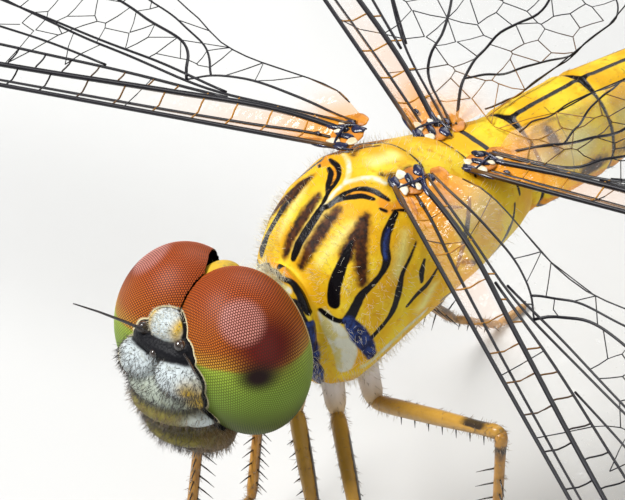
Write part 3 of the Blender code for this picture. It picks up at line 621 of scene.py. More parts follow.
def shell_finish():
    """Yellow shell with black, brown, blue, cream and orange marks, the blue being painted blue sheen on the
    black, and pale patches of painted sheen.
    """
    f = Finish("painted_shell", Coat_Weight=0.0, Specular_IOR_Level=0.17)
    cream = f.mix(f.step(f.noise(2.4), 0.45, 0.62), (0.62, 0.62, 0.50), (0.58, 0.50, 0.18))
    brown = f.mix(f.step(f.noise(7.0), 0.35, 0.65), (0.018, 0.005, 0.001), (0.070, 0.018, 0.002))
    # Dark to brighter blue of the painted blue sheen.
    blue_sheen = f.mix(f.step(f.noise(6.0), 0.40, 0.65), (0.006, 0.010, 0.055), (0.018, 0.045, 0.20))
    black, blue = f.inside("black", 0.025, 0.045), f.inside("blue", 0.04, 0.06)
    f.wire("Base Color", f.layers((0.68, 0.36, 0.004), (
        (f.step(f.noise(0.9), 0.35, 0.68), (0.74, 0.54, 0.024)),
        (f.step(f.noise(4.0), 0.52, 0.75), (0.62, 0.32, 0.006)),
        # Painted sheen: pale patches on the thorax and pale ovals on the abdomen's segments, painted highlight.
        (f.inside("pale", 0.22, 0.15), (0.74, 0.66, 0.20)),
        # Orange marks; the one under the wing bases is partly painted shade under the wings.
        (f.inside("orange", 0.08, 0.10), (0.66, 0.26, 0.010)),
        (f.inside("cream", 0.05, 0.05), cream),
        (f.math("MULTIPLY", f.inside("brown", 0.20, 0.20), 0.75), (0.42, 0.16, 0.006)),
        (f.inside("brown", 0.10, 0.20, 7.0), brown),
        (black, (0.004, 0.003, 0.004)),
        # Painted blue sheen over the black, a painted reflection.
        (blue, blue_sheen),
    )))
    dark = f.math("MAXIMUM", black, blue)
    f.wire("Roughness", f.node("ShaderNodeMapRange", {"Value": dark, "To Min": 0.54, "To Max": 0.27}).outputs[0])
    f.bump(f.noise(16.0, 4.0), 0.012)
    return f.material


def face_finish():
    """The zones' colours, mottled, with the black band and the black rims of painted shade along the eyes."""
    f = Finish("face_skin", Roughness=0.42, Specular_IOR_Level=0.14)
    colour = f.node("ShaderNodeAttribute", attribute_name="zone").outputs["Color"]
    colour = f.mix(f.math("MULTIPLY", f.step(f.noise(5.0), 0.5, 0.75), 0.45), colour, (0.20, 0.19, 0.10))
    # Black band, and the black rims of painted shade along the eyes.
    colour = f.mix(f.inside("black", 0.03, 0.05), colour, BLACK)
    f.wire("Base Color", colour)
    f.bump(f.noise(14.0, 4.0), 0.03)
    return f.material


def plain_finish(name, light, dark, scale, roughness, depth=0.01, **settings):
    """Two shades that shift over a fine grain."""
    f = Finish(name, Roughness=roughness, **settings)
    f.wire("Base Color", f.mix(f.step(f.noise(scale), 0.35, 0.70), light, dark))
    f.bump(f.noise(scale * 4.0), depth)
    return f.material


def membrane_finish():
    """Clear wing skin, amber near the root, with small pale painted glints."""
    f = Finish("wing_membrane", Roughness=0.16, Specular_IOR_Level=0.6)
    away = f.math("ADD", f.field("out"), f.waver(0.8, 2.2))
    amber = f.math("MULTIPLY", f.step(away, 2.8, 0.6), f.step(f.field("back"), 3.2, 1.2))
    strip = f.math("MULTIPLY", f.step(f.field("back"), 1.0, 0.8), f.step(away, 9.0, 1.0))
    # Painted glints: small pale specks over the membrane.
    painted_glints = f.math("MULTIPLY", f.step(f.noise(9.0, 1.0), 0.70, 0.76), 0.6)
    colour = f.mix(f.math("MAXIMUM", amber, strip), (0.62, 0.62, 0.58), (0.72, 0.28, 0.015))
    f.wire("Base Color", f.mix(painted_glints, colour, (0.9, 0.9, 0.85)))
    alpha = f.math("ADD", f.math("MULTIPLY", amber, 0.55), f.math("MULTIPLY", painted_glints, 0.25))
    alpha = f.math("ADD", alpha, f.math("MULTIPLY", strip, 0.30))
    f.wire("Alpha", f.math("ADD", alpha, 0.07))
    f.bump(f.noise(2.5), 0.10)
    return f.material


def vein_finish():
    """Black veins, amber towards the root where they are thin."""
    f = Finish("wing_vein", Roughness=0.36, Specular_IOR_Level=0.30)
    amber = f.step(f.field("amber"), 0.3, 0.9)
    f.wire("Base Color", f.mix(amber, (0.006, 0.005, 0.008), (0.50, 0.22, 0.02)))
    return f.material


def leg_finish():
    """Amber skin, pale at the hip, with dark knees and claws and streaks of painted shade down one side."""
    f = Finish("leg_skin", Roughness=0.36, Coat_Weight=0.2)
    dark = f.math("ADD", f.field("dark"), f.waver(5.0, 0.5))
    f.wire("Base Color", f.layers((0.42, 0.20, 0.025), (
        (f.step(f.noise(2.2), 0.35, 0.7), (0.26, 0.11, 0.012)),
        (f.step(f.field("pale"), 0.0, 0.5), (0.52, 0.30, 0.045)),
        (f.step(f.field("pale"), 0.5, 0.9), (0.66, 0.60, 0.56)),
        (f.step(dark, 0.35, 0.75), (0.030, 0.018, 0.010)),
    )))
    f.bump(f.noise(12.0), 0.015)
    return f.material


def hair_finish():
    """Hair from black through brown to pale straw by its tone."""
    f = Finish("hair", Roughness=0.45, Sheen_Weight=0.2)
    tone = f.field("tone")
    f.wire("Base Color", f.layers((0.018, 0.013, 0.010), (
        (f.step(tone, 0.05, 0.45), (0.30, 0.19, 0.08)), (f.step(tone, 0.45, 0.80), (0.80, 0.74, 0.56)))))
    return f.material


# ---------------------------------------------------------------- head

def head_frame():
    """The head's place and turn on the neck."""
    return (Matrix.Translation(HEAD_PLACE) @ Matrix.Rotation(math.radians(HEAD_YAW), 4, "Z")
            @ Matrix.Rotation(math.radians(HEAD_NOD), 4, "X") @ Matrix.Rotation(math.radians(HEAD_LEAN), 4, "Y"))


def from_head(points):
    """Points given from the head's middle, in the model."""
    return np.asarray(points) @ HEAD_TURN.T + HEAD_PLACE


def to_head(points):
    """Points of the model, from the head's middle."""
    return (np.asarray(points) - HEAD_PLACE) @ HEAD_TURN


def eye_turn(side):
    """How an eye leans outward."""
    return np.array(Matrix.Rotation(math.radians(-side * EYE_LEAN), 3, "Y"))


def face_parts():
    """The face's zones on both sides."""
    for middle, radii, colour in FACE_ZONES:
        for side in ((1, -1) if middle[0] else (1,)):
            yield np.array(middle) * (side, 1, 1), np.array(radii), np.array(colour)


def grown_face():
    """The face's swellings grown together: points and faces."""
    points, faces = join([ball(middle, radii, 4) for middle, radii, _ in face_parts()])
    mesh = bpy.data.meshes.new("face_blocks")
    mesh.from_pydata(points.tolist(), [], faces[0].tolist())
    blocks = bpy.data.objects.new("face_blocks", mesh)
    bpy.context.scene.collection.objects.link(blocks)
    remesh = blocks.modifiers.new("grow", "REMESH")
    remesh.mode, remesh.voxel_size = "VOXEL", HEAD_VOXEL
    smooth = blocks.modifiers.new("soften", "SMOOTH")
    smooth.iterations, smooth.factor = 4, 0.5
    bpy.context.view_layer.update()
    grown = blocks.evaluated_get(bpy.context.evaluated_depsgraph_get()).to_mesh()
    points = np.array([v.co for v in grown.vertices])
    faces = np.array([p.vertices[:] for p in grown.polygons])
    bpy.data.objects.remove(blocks, do_unlink=True)
    return points, faces


def face_colours(points):
    """Each point's colour: that of the zones it lies nearest to, and yellow flecks beside the eyes."""
    blend, total = np.zeros((len(points), 3)), np.zeros(len(points))
    for middle, radii, colour in face_parts():
        depth = (np.linalg.norm((points - middle) / radii, axis=1) - 1) * radii.min()
        weight = np.exp(-np.clip(depth, -0.2, 3) / ZONE_BLEND)
        blend += weight[:, None] * colour
        total += weight
    zone = blend / total[:, None]
    aside, height = np.abs(points[:, 0]), points[:, 2]
    yellow = sum(bell(aside - out, wide) * bell(height - up, tall) for out, wide, up, tall in FACE_FLECKS)
    yellow = np.clip(yellow, 0, 1)[:, None]
    return zone * (1 - yellow) + np.array(YELLOW) * yellow


def face_band_and_crease_shade(points):
    """Distance from the black rim along the eyes, painted shade in the groove where the face meets them, and from
    the black band, below 0 inside them.
    """
    gaps = []
    for side in (1, -1):
        local = (points - (side * EYE_OFFSET, 0, 0)) @ eye_turn(side)
        gaps.append((np.linalg.norm(local / EYE_RADII, axis=1) - 1) * EYE_MEAN)
    # The rim along the eyes: painted shade in the groove where the face meets them.
    black = np.minimum(*gaps) - CREASE_SHADE_WIDTH
    black[(points[:, 1] > RIM_FRONT) | (points[:, 2] < RIM_LOWEST)] = UNMARKED
    for middle, radii, colour in face_parts():
        if tuple(colour) == BLACK:
            inside = (np.linalg.norm((points - middle) / radii, axis=1) - BAND_REACH) * radii.min()
            black = np.minimum(black, np.where(points[:, 1] < BAND_FRONT, inside, UNMARKED))
    return black


def build_head():
    """One skin over the face's swellings, the simple eyes, and a dark disc of painted shade in the seam between
    the large ones.
    """
    points, faces = grown_face()
    skin = add_mesh("head_skin", from_head(points), [faces], face_finish(), "face",
                    nodes=("head", "labrum", "labium"), fields={"black": face_band_and_crease_shade(points)},
                    colours={"zone": face_colours(points)})
    glass = plain_finish("ocellus", (0.02, 0.015, 0.012), (0.05, 0.03, 0.02), 3.0, 0.06, Coat_Weight=1.0)
    beads = [ball(from_head([(x * side, y, z)])[0], (r, r, r), 3)
             for x, y, z, r in OCELLI for side in ((1, -1) if x else (1,))]
    add_mesh("ocelli", *join(beads), glass, "black_shell")
    # A dark sheet between the eyes: painted shade in the crease where they meet.
    dark = plain_finish("seam", (0.02, 0.012, 0.008), (0.012, 0.008, 0.006), 4.0, 0.5)
    turn = np.linspace(0, 2 * np.pi, 72, endpoint=False)
    (y, z), (deep, tall) = SEAM_MIDDLE, SEAM_RADII
    disc = np.stack([np.zeros(72), np.cos(turn) * deep + y, np.sin(turn) * tall + z], -1)
    rings = from_head(np.stack([disc - (SEAM_HALF, 0, 0), disc + (SEAM_HALF, 0, 0)]))
    add_mesh("eye_crease_shade", *loft(rings), dark, "black_shell", smooth=False)
    return skin


def build_eye(side, label, skin_tree, finish):
    """Six-sided facets over an egg, each a low cone between its corners."""
    bm = bmesh.new()
    bmesh.ops.create_icosphere(bm, subdivisions=6, radius=1.0)
    bm.faces.ensure_lookup_table()
    centres = np.array([v.co for v in bm.verts])
    corners = np.array([f.calc_center_median().normalized() for f in bm.faces])
    links = np.array([(e.verts[0].index, e.verts[1].index, e.link_faces[0].index, e.link_faces[1].index)
                      for e in bm.edges])
    bm.free()
    count = len(centres)
    egg = np.vstack([centres * (1 + FACET_RISE / 2), corners * (1 - FACET_RISE / 2)])
    a, b, g, h = links[:, 0], links[:, 1], links[:, 2] + count, links[:, 3] + count
    faces = np.vstack([np.stack([a, g, h], -1), np.stack([b, h, g], -1)])
    normal = np.cross(egg[faces[:, 1]] - egg[faces[:, 0]], egg[faces[:, 2]] - egg[faces[:, 0]])
    wrong = np.einsum("ij,ij->i", normal, egg[faces].mean(1)) < 0
    faces[wrong] = faces[wrong][:, ::-1]
    points = (egg * EYE_RADII) @ eye_turn(side).T + (side * EYE_OFFSET, 0, 0)
    inner = SEAM_HALF + NOTCH_SPREAD * np.clip(points[:, 1] - NOTCH_START, 0, None) * (points[:, 2] > 0)
    faces = faces[(points[:, 0] * side > inner)[faces].all(1)]
    used, faces = np.unique(faces, return_inverse=True)
    faces = faces.reshape(-1, 3)
    points, rim = points[used], (used >= count).astype(float)
    body = from_head(points)
    fields = {key: np.linalg.norm((body * (side, 1, 1) - middle) * (1.0, 1.0, squeeze), axis=1)
              for key, (middle, squeeze) in EYE_SPOTS.items()}
    edge = np.array([skin_tree.find_nearest(Vector(p), EYE_SEARCH)[3] or EYE_SEARCH for p in body]) - EYE_EDGE
    edge[points[:, 1] > EDGE_FRONT] = EYE_SEARCH
    behind = points[:, 1] - EYE_REAR
    edge = np.minimum(edge, np.abs(behind + EYE_RIM) - EYE_RIM)
    fields.update(rim=rim, height=points[:, 2] - EYE_BORDER, edge=edge, behind=behind)
    add_mesh("eye_facets_" + label, body, [faces], finish, "eye", nodes=("eye_" + label,), smooth=False,
             fields=fields)


def build_antenna(side, label, finish):
    """Two stout joints and a bristle."""
    root = np.array(ANTENNA_ROOT) * (side, 1, 1)
    reach = np.array(ANTENNA_REACH[label]) * (side, 1, 1)
    shares = np.array(ANTENNA_SHARES)
    path = from_head(root + np.outer(shares, reach) + np.outer(shares * (1 - shares), ANTENNA_BOW))
    add_mesh("feeler_" + label, *tube(path, ANTENNA_RADII, 10), finish, "black_shell",
             nodes=("antenna_" + label,))


# ---------------------------------------------------------------- trunk and abdomen

def soften(values, width):
    """Values smoothed over a number of their neighbours."""
    kernel = bell(np.linspace(-2, 2, width), 1)
    padded = np.pad(values, width // 2, mode="edge")
    return np.convolve(padded, kernel / kernel.sum(), "valid")[:len(values)]


def squared(wave, squareness):
    """A sine or cosine made squarer, for a section that is fuller than an oval."""
    return np.sign(wave) * abs(wave) ** (2 / squareness)


def trunk_rings(y, top, under, half, power, low_power):
    """Rounded sections of the trunk, fuller above than below."""
    turn = np.linspace(0, 2 * np.pi, TRUNK_ROUND, endpoint=False)
    c, s = np.cos(turn)[None], np.sin(turn)[None]
    squareness = np.where(s < 0, low_power[:, None], power[:, None])
    x = squared(c, squareness) * half[:, None]
    z = (top + under)[:, None] / 2 + squared(s, squareness) * ((top - under) / 2)[:, None]
    return np.stack([x, np.broadcast_to(y[:, None], x.shape), z], -1)


def build_trunk(finish):
    """One skin from the neck to the abdomen, with its keel, seams and domes."""
    slices = np.array(TRUNK_SLICES)
    y = np.linspace(slices[0, 0], slices[-1, 0], TRUNK_ROWS)
    top, under, half, power = (soften(np.interp(y, slices[:, 0], slices[:, k]), 7) for k in range(1, 5))
    trim = np.array(TRUNK_TRIM)
    off_top, off_under, off_side, rounder = (np.interp(y, trim[:, 0], trim[:, k]) for k in range(1, 5))
    points, faces = loft(trunk_rings(y, top, under, half, power, power))
    drawn, _ = loft(trunk_rings(y, top - off_top, under + off_under, half - off_side, power, power - rounder))
    tree = BVHTree.FromPolygons(points.tolist(), [row for group in faces for row in group.tolist()])
    # The pale field is painted sheen and the blue field painted blue sheen.
    fields = {name: mark_field(points, marks, tree) for name, marks in
              (("black", BLACK_MARKS), ("brown", BROWN_MARKS), ("blue", PAINTED_BLUE_SHEEN_MARKS), ("cream", CREAM_MARKS),
               ("orange", ORANGE_MARKS), ("pale", PAINTED_SHEEN_MARKS))}
    away = points - (0, 0, 0.2)
    outward = away * (1, 0, 1)
    outward /= np.linalg.norm(outward, axis=1, keepdims=True) + 1e-9
    rise = sum(height * bell(np.maximum(mark_field(points, marks, tree), 0), reach)
               for marks, reach, height in TRUNK_RIDGES)
    rise = rise + sum(bump_at(points, middle, reach, height) for middle, reach, height in TRUNK_DOMES)
    return add_mesh("trunk_skin", drawn + outward * rise[:, None], faces, finish, "yellow_shell",
                    nodes=("prothorax", "thorax"), fields=fields)


def abdomen_marks(at, turn, x, half, ends, joints):
    """Distance from the edges of the abdomen's marks and of its painted highlights, below 0 inside them, by
    colour.
    """
    number = np.clip(np.searchsorted(ends, at, side="right") - 1, 0, 9)
    spread = np.abs(turn - np.pi / 2)
    spread = np.minimum(spread, 2 * np.pi - spread)[None]
    at = at[:, None]
    crown = 0.055 + 0.07 * bell(spread, 0.30)
    ring = np.where(spread < 2.4, np.abs(at - joints[:, None, None]).min(0) - crown, 1.0)
    fold = np.where(abs(spread - 1.0) < 0.9, np.abs(at - ABDOMEN_FOLDS[:, None, None]).min(0) - 0.018, 1.0)
    line = np.where((spread < 1.0) & (at > 0.3), np.abs(x) - 0.05 - 0.04 * np.exp(-at / 6), 1.0)
    seam = (np.abs(spread - 2.35) - 0.08) * half
    black = np.minimum(np.minimum(ring, fold), np.minimum(line, seam))
    black[(number >= 8)[:, None] & (spread < 0.5)] = -0.1
    brown = np.full(x.shape, 1.0)
    for n, (start, (length, _, _)) in enumerate(zip(ends, ABDOMEN_SEGMENTS)):
        spots = ABDOMEN_SPOTS.get(n, ((start + 0.62 * length, 0.85, 0.30 * length, 0.26),
                                      (start + 0.45 * length, 1.75, 0.38 * length, 0.20)))
        for place, spot, reach, wide in spots:
            away = np.hypot((at - place) / reach, (spread - spot) / wide) - 1.0
            brown = np.minimum(brown, away * 0.25)
    share = (at - ends[number][:, None]) / np.diff(ends)[number][:, None]
    # Pale ovals high on each segment's flanks: painted highlight.
    pale = (np.hypot((share - 0.38) / 0.34, (spread - 1.15) / 0.40) - 1.0) * 0.4 + 0.1
    orange = np.abs(spread - 2.15) * 1.2 - 0.18
    return {"black": black, "brown": brown, "pale": pale, "orange": orange, "blue": 0.5, "cream": 0.5}


def build_abdomen(finish):
    """One tapering skin whose ten segments narrow at their joints, and two claspers."""
    rise = math.radians(ABDOMEN_RISE)
    along, upward = np.array((0, math.cos(rise), math.sin(rise))), np.array((0, -math.sin(rise), math.cos(rise)))
    lengths, wide, high = np.array(((0, *ABDOMEN_FRONT), *ABDOMEN_SEGMENTS)).T
    ends = np.cumsum(lengths)
    at = np.linspace(-ABDOMEN_INSIDE, ends[-1], ABDOMEN_ROWS)
    joints = np.append(FIRST_JOINT, ends[2:-1])
    joint = np.abs(at[:, None] - joints).min(1)
    pinch = 0.09 * bell(joint, 0.10) - 0.02 * bell(joint - 0.28, 0.12)
    close = np.sqrt(np.clip((ends[-1] + 0.02 - at) / 0.45, 0, 1))
    close = np.where(at > ends[-1] - 0.43, close, 1.0)
    turn = np.linspace(0, 2 * np.pi, ABDOMEN_ROUND, endpoint=False)
    c, s = np.cos(turn)[None], np.sin(turn)[None]
    half_w, half_h = ((soften(np.interp(at, ends, size), 15) - ABDOMEN_CLEAR - pinch) * close
                      for size in (wide, high))
    keel = (0.05 * bell(turn - np.pi / 2, 0.10) - 0.10 * bell(turn - 1.5 * np.pi, 0.25))[None]
    x = squared(c, ABDOMEN_SQUARENESS) * half_w[:, None]
    z = squared(s, ABDOMEN_SQUARENESS) * half_h[:, None] + np.sign(s) * keel * close[:, None]
    rings = (np.array(ABDOMEN_START) + along * at[:, None, None] + upward * z[..., None]
             + np.array((1, 0, 0)) * x[..., None])
    points, faces = loft(rings)
    marks = abdomen_marks(at, turn, x, half_w[:, None], ends, joints)
    fields = {key: np.append(np.broadcast_to(value, x.shape).ravel(), (0.5, 0.5)) for key, value in marks.items()}
    skin = add_mesh("abdomen_skin", points, faces, finish, "yellow_shell",
                    nodes=["abdomen_%d" % n for n in range(1, 11)], fields=fields)
    end = np.array(ABDOMEN_START) + along * ends[-1]
    claw = plain_finish("clasper", (0.16, 0.09, 0.02), (0.05, 0.03, 0.01), 3.0, 0.35)
    for side, label in ((1, "left"), (-1, "right")):
        root = end + (side * 0.30, -0.25, 0.12)
        tip = end + (side * 0.32, 0, 0.12) + (along + (side * 0.10, 0, 0.05)) * CERCUS_LENGTH
        path = curve_through([root, (root + tip) / 2 + (side * 0.05, 0, 0.06), tip], 9)
        radii = np.interp(np.linspace(0, 1, 9), (0, .3, .75, 1), (.12, .20, .17, .04))
        add_mesh("clasper_" + label, *tube(path, radii, 10), claw, "black_shell", nodes=("cercus_" + label,))
    return skin


# ---------------------------------------------------------------- wings

def wing_axes(wing):
    """Axes of the left wing: out along the span, back along the chord, and up through it."""
    droop, sweep, pitch = (math.radians(wing[key]) for key in ("droop", "sweep", "pitch"))
    out = np.array((math.cos(droop) * math.cos(sweep), -math.cos(droop) * math.sin(sweep), -math.sin(droop)))
    level = unit(np.cross((0, 0, 1), out))
    back = level * math.cos(pitch) + np.cross(out, level) * math.sin(pitch)
    return np.stack([out, back, np.cross(out, back)])


def wing_edges(wing, out):
    """How far back the front and rear edges lie at places along the span."""
    share = np.clip(np.asarray(out, float) / wing["length"], 0, 1)
    apex = APEX_SHARE * wing["chord"]
    bend = np.clip((share - LEADING_BEND) / (1 - LEADING_BEND), 0, 1)
    front = apex * (1 - np.sqrt(1 - bend ** 2))
    width = curve_through(np.array(wing["widths"]), 200)
    edge = wing["chord"] * np.interp(share, width[:, 0], width[:, 1])
    bend = np.clip((share - wing["tip"]) / (1 - wing["tip"]), 0, 1)
    return front, apex + (edge - apex) * np.sqrt(1 - bend ** 2)


def pleat(out, back):
    """Height of the folds along the wing's front, fading backward and outward."""
    return (0.11 * np.cos(2 * np.pi * back / 0.95) * np.exp(-back / 2.2) * np.exp(-out / 26)
            + 0.05 * np.sin(2 * np.pi * back / 1.9 + out * 0.12) * np.clip(back / 2, 0, 1) * np.exp(-out / 18))


def place_wing(wing, side, flat, lift=0.0):
    """Turn (out, back) places on a wing into points of the model."""
    flat = np.asarray(flat, float)
    height = pleat(flat[:, 0], flat[:, 1]) + lift
    points = np.array(wing["root"]) + np.column_stack([flat, height]) @ wing_axes(wing)
    points += bell(flat[:, :1], SEAT_REACH) * wing["seat"]
    return points * (side, 1, 1)


def hub_of(a, b, c):
    """The place that is as far from each of three corners, or their middle where they lie in line."""
    area = 2 * (a[0] * (b[1] - c[1]) + b[0] * (c[1] - a[1]) + c[0] * (a[1] - b[1]))
    if abs(area) <= 1e-6:
        return (a + b + c) / 3
    return np.array(((a @ a) * (b[1] - c[1]) + (b @ b) * (c[1] - a[1]) + (c @ c) * (a[1] - b[1]),
                     (a @ a) * (c[0] - b[0]) + (b @ b) * (a[0] - c[0]) + (c @ c) * (b[0] - a[0]))) / area


def small_cells(wing, veins, rng):
    """Edges of the small cells behind the sector vein, as pairs of (out, back) places."""
    sector = curve_through(veins["sector"][1], 60)
    seeds = []
    for out in np.arange(0.6, wing["length"] - 0.2, CELL * CELL_ROW):
        _, rear = wing_edges(wing, out)
        start = np.interp(out, sector[:, 0], sector[:, 1]) if out > sector[0, 0] else 1.25
        rows = max(1, int(round((rear - start) / CELL)))
        for row in range(rows):
            shift = 0.5 * (len(seeds) % 2) * (rows > 1) - 0.25 * (rows > 1)
            seeds.append((out, start + (rear - start) * (row + 0.5 + shift) / rows))
    seeds = np.array(seeds) + rng.uniform(-CELL_SCATTER, CELL_SCATTER, (len(seeds), 2)) * CELL
    done = delaunay_2d_cdt([Vector(p) for p in seeds.tolist()], [], [], 0, 1e-5)
    where, triangles = np.array([tuple(v) for v in done[0]]), done[2]
    owners, hubs = {}, []
    for index, (i, j, k) in enumerate(triangles):
        hubs.append(hub_of(where[i], where[j], where[k]))
        for pair in ((i, j), (j, k), (k, i)):
            owners.setdefault(frozenset(pair), []).append(index)
    hubs = np.array(hubs)
    lines = np.vstack([curve_through(points, 120) for _, points in veins.values()])
    gaps = np.linalg.norm(hubs[:, None] - lines[None], axis=-1)
    close = gaps.min(1) < CELL_SNAP
    hubs[close] = lines[gaps.argmin(1)[close]]
    inside = (hubs[:, 0] > 0.1) & (hubs[:, 0] < wing["length"] - 0.05) & (hubs[:, 1] > 0.9)
    edges = []
    for pair in owners.values():
        if len(pair) < 2 or not (inside[pair[0]] or inside[pair[1]]) or (close[pair[0]] and close[pair[1]]):
            continue
        ends = hubs[list(pair)].copy()
        for end in ends:
            low, high = wing_edges(wing, end[0])
            end[1] = min(max(end[1], low), high)
        if CELL_SHORTEST < np.linalg.norm(ends[0] - ends[1]) < CELL_LONGEST:
            edges.append(ends)
    return edges


def build_wing(name, wing, veins, side, label, membrane, vein, dark, seed):
    """Pleated membrane, long veins, cross veins, small cells, nodus and stigma."""
    rng = np.random.default_rng(seed)
    length = wing["length"]
    share = np.sin(np.linspace(0, np.pi / 2, WING_ROWS))
    out = share * length
    front, rear = wing_edges(wing, out)
    chord = front[:, None] + (rear - front)[:, None] * np.linspace(0, 1, WING_COLUMNS)
    flat = np.stack([np.broadcast_to(out[:, None], chord.shape), chord], -1).reshape(-1, 2)
    index = np.arange(chord.size).reshape(chord.shape)
    quads = np.stack([index[:-1, :-1], index[1:, :-1], index[1:, 1:], index[:-1, 1:]], -1).reshape(-1, 4)
    add_mesh("membrane_%s_%s" % (name, label), place_wing(wing, side, flat), [quads], membrane, "wing",
             nodes=("%s_%s" % (name, label),), fields={"out": flat[:, 0], "back": flat[:, 1]})
    pieces, amber = [], []

    def lay(path, radius, tone, sides=6, reach=VEIN_COLOUR_REACH):
        """Add a vein, with how amber it is at the root and how far that reaches."""
        pieces.append(tube(place_wing(wing, side, path), radius, sides))
        amber.append(np.interp(np.repeat(np.asarray(path)[:, 0], sides), (0, reach), (tone, tone * 0.2)))
        amber.append(np.zeros(2))

    costa = np.stack([out, front + 0.04], -1)
    lay(costa, np.interp(share, *COSTA_RADII), 0.5)
    lay(np.stack([out, rear - 0.01], -1)[1:], REAR_RADIUS, 0.4, 5)
    lines = {}
    for key, (radius, points) in veins.items():
        path = curve_through(points, 60)
        edge = wing_edges(wing, path[:, 0])
        path[:, 1] = np.clip(path[:, 1], edge[0] + 0.03, edge[1])
        lines[key] = path
        lay(path, np.linspace(radius, radius * 0.62, 60), 0.0 if key == "radius" else 0.45)

    def back_at(key, out):
        """How far back a long vein, or the front edge, lies at a place along the span."""
        return float(wing_edges(wing, out)[0] if key == "edge" else np.interp(out, *lines[key].T))

    nodus, (stigma, stigma_end) = NODUS[name], STIGMA[name]
    ladders = (("edge", "radius", 1.3, nodus - 0.3, 1.22), ("edge", "radius", nodus + 0.9, stigma - 0.5, 1.0),
               ("edge", "radius", stigma_end + 0.4, length - 2.0, 0.5),
               ("radius", "sector", 4.8, length - 1.8, 0.95), ("radius", "media", 1.2, 4.0, 1.3))
    for front_vein, rear_vein, at, stop, step in ladders:
        while at < stop:
            ends = (at, back_at(front_vein, at)), (at + CROSS_LEAN, back_at(rear_vein, at + CROSS_LEAN))
            lay(np.linspace(*ends, 5), CROSS_RADIUS, 1.0, 5, 12.0)
            at += step * rng.uniform(*CROSS_SPREAD)
    for ends in small_cells(wing, veins, rng):
        lay(np.linspace(*ends, 3), CELL_RADIUS, 0.75, 4)
    lay(np.array([(nodus - 0.15, back_at("edge", nodus)), (nodus + 0.05, 0.35),
                  (nodus + 0.25, back_at("radius", nodus))]), NODUS_RADIUS, 0.0)
    add_mesh("veins_%s_%s" % (name, label), *join(pieces), vein, "wing", fields={"amber": np.concatenate(amber)})
    block = [place_wing(wing, side, [(o, back_at("edge", o) + 0.02), (o, back_at("radius", o) - 0.02)], lift)
             for o in np.linspace(stigma, stigma_end, 12) for lift in (0.05, -0.05)]
    block = np.array(block).reshape(12, 4, 3)[:, [0, 1, 3, 2]]
    add_mesh("stigma_%s_%s" % (name, label), *loft(block), dark, "wing", smooth=False)


def build_hinges():
    """Little glossy plates and soft membrane where the wings join the thorax."""
    shades = {"black": plain_finish("hinge_black", (0.006, 0.007, 0.016), (0.012, 0.014, 0.06), 4, 0.20,
                                    Coat_Weight=0.2),
              "cream": plain_finish("hinge_cream", (0.72, 0.68, 0.55), (0.60, 0.46, 0.26), 5, 0.4),
              "orange": plain_finish("hinge_orange", (0.60, 0.22, 0.015), (0.35, 0.11, 0.01), 3, 0.32)}
    for shade, finish in shades.items():
        pieces = []
        for wing in (FOREWING, HINDWING):
            axes, seat = wing_axes(wing), np.add(wing["root"], wing["seat"])
            for colour, place, radii in HINGE_PLATES:
                if colour == shade:
                    points, faces = ball((0, 0, 0), (1, 1, 1), 3)
                    turn = np.arctan2(points[:, 1], points[:, 0])
                    angular = 1 + 0.10 * np.cos(3 * turn + 9 * place[0]) + 0.05 * np.cos(5 * turn + 9 * place[1])
                    points = points * np.array(radii) * (1.10, 1.10, 0.80) * angular[:, None]
                    points = (points + place) @ axes + seat
                    pieces += [(points * (side, 1, 1), faces) for side in (1, -1)]
            for path in HINGE_STRUTS if shade == "black" else ():
                points, faces = tube(curve_through(path, 9) @ axes + seat, STRUT_RADII, 8)
                pieces += [(points * (side, 1, 1), faces) for side in (1, -1)]
        add_mesh("hinge_" + shade, *join(pieces), finish, "wing")


# ---------------------------------------------------------------- legs

def knee_place(hip, ankle, lengths, pole):
    """Where thigh and shin of the given lengths meet, on the side the pole points to."""
    reach = ankle - hip
    span = min(np.linalg.norm(reach), 0.995 * sum(lengths))
    along = unit(reach)
    share = (lengths[0] ** 2 - lengths[1] ** 2 + span ** 2) / (2 * span)
    aside = unit(pole - along * (pole @ along))
    return hip + along * share + aside * math.sqrt(lengths[0] ** 2 - share ** 2)


def limb_shade(pair, number, points, a, b, at, sides):
    """How dark each point of a limb is: its ends, painted shade down the side facing back, the hind knee and
    below the knees.
    """
    first, last = LIMBS[number][4]
    shade = np.repeat(np.clip(np.exp(-at / 0.05) * first + np.exp(-(1 - at) / 0.09) * last, 0, 1), sides)
    spoke = unit(points[:-2] - np.repeat(a + np.outer(at, b - a), sides, axis=0))
    reach = np.repeat(at, sides)
    # Painted shade: darker down the side that faces back and down, the same way on every leg.
    painted_shade_side = np.clip((spoke @ (0.30, 0.93, -0.20) - 0.05) / 0.40, 0, 1) * np.clip(reach / 0.3, 0, 1)
    if number == THIGH:
        patch = bell(reach - 0.82, 0.11) * np.clip(spoke[:, 2] * 2.2, 0, 1)
        shade = np.maximum(shade, patch if pair == "hind" else painted_shade_side * 0.85)
    if number == SHIN:
        shade = np.maximum(np.maximum(shade, painted_shade_side * 0.6), 0.9 * bell(reach - 0.11, 0.06))
    return np.append(shade, (first, last))


def leg_spines(joints, pole):
    """Bristles in rows along the thigh, shin and foot, where they stay off the floor."""
    spines = []
    for a, b, (length, rows, count) in zip(joints, joints[1:], LEG_SPINES):
        run = unit(b - a)
        bend = unit(np.cross(run, pole))
        inner = np.cross(run, bend)
        for row in range(rows):
            turn = math.radians(SPINE_TURNS[row])
            spoke = inner * math.cos(turn) + bend * math.sin(turn)
            for i in range(count):
                foot = a + (b - a) * (0.16 + 0.76 * (i + 0.5 * row) / count)
                tip = foot + spoke * (0.12 + length) + run * length * 0.55
                if tip[2] > -STAND_HEIGHT + 0.02:
                    bent = foot + (tip - foot) * 0.5 + spoke * 0.02
                    spines.append(tube([foot, bent, tip], (.030, .022, .006), 5))
    return join(spines)


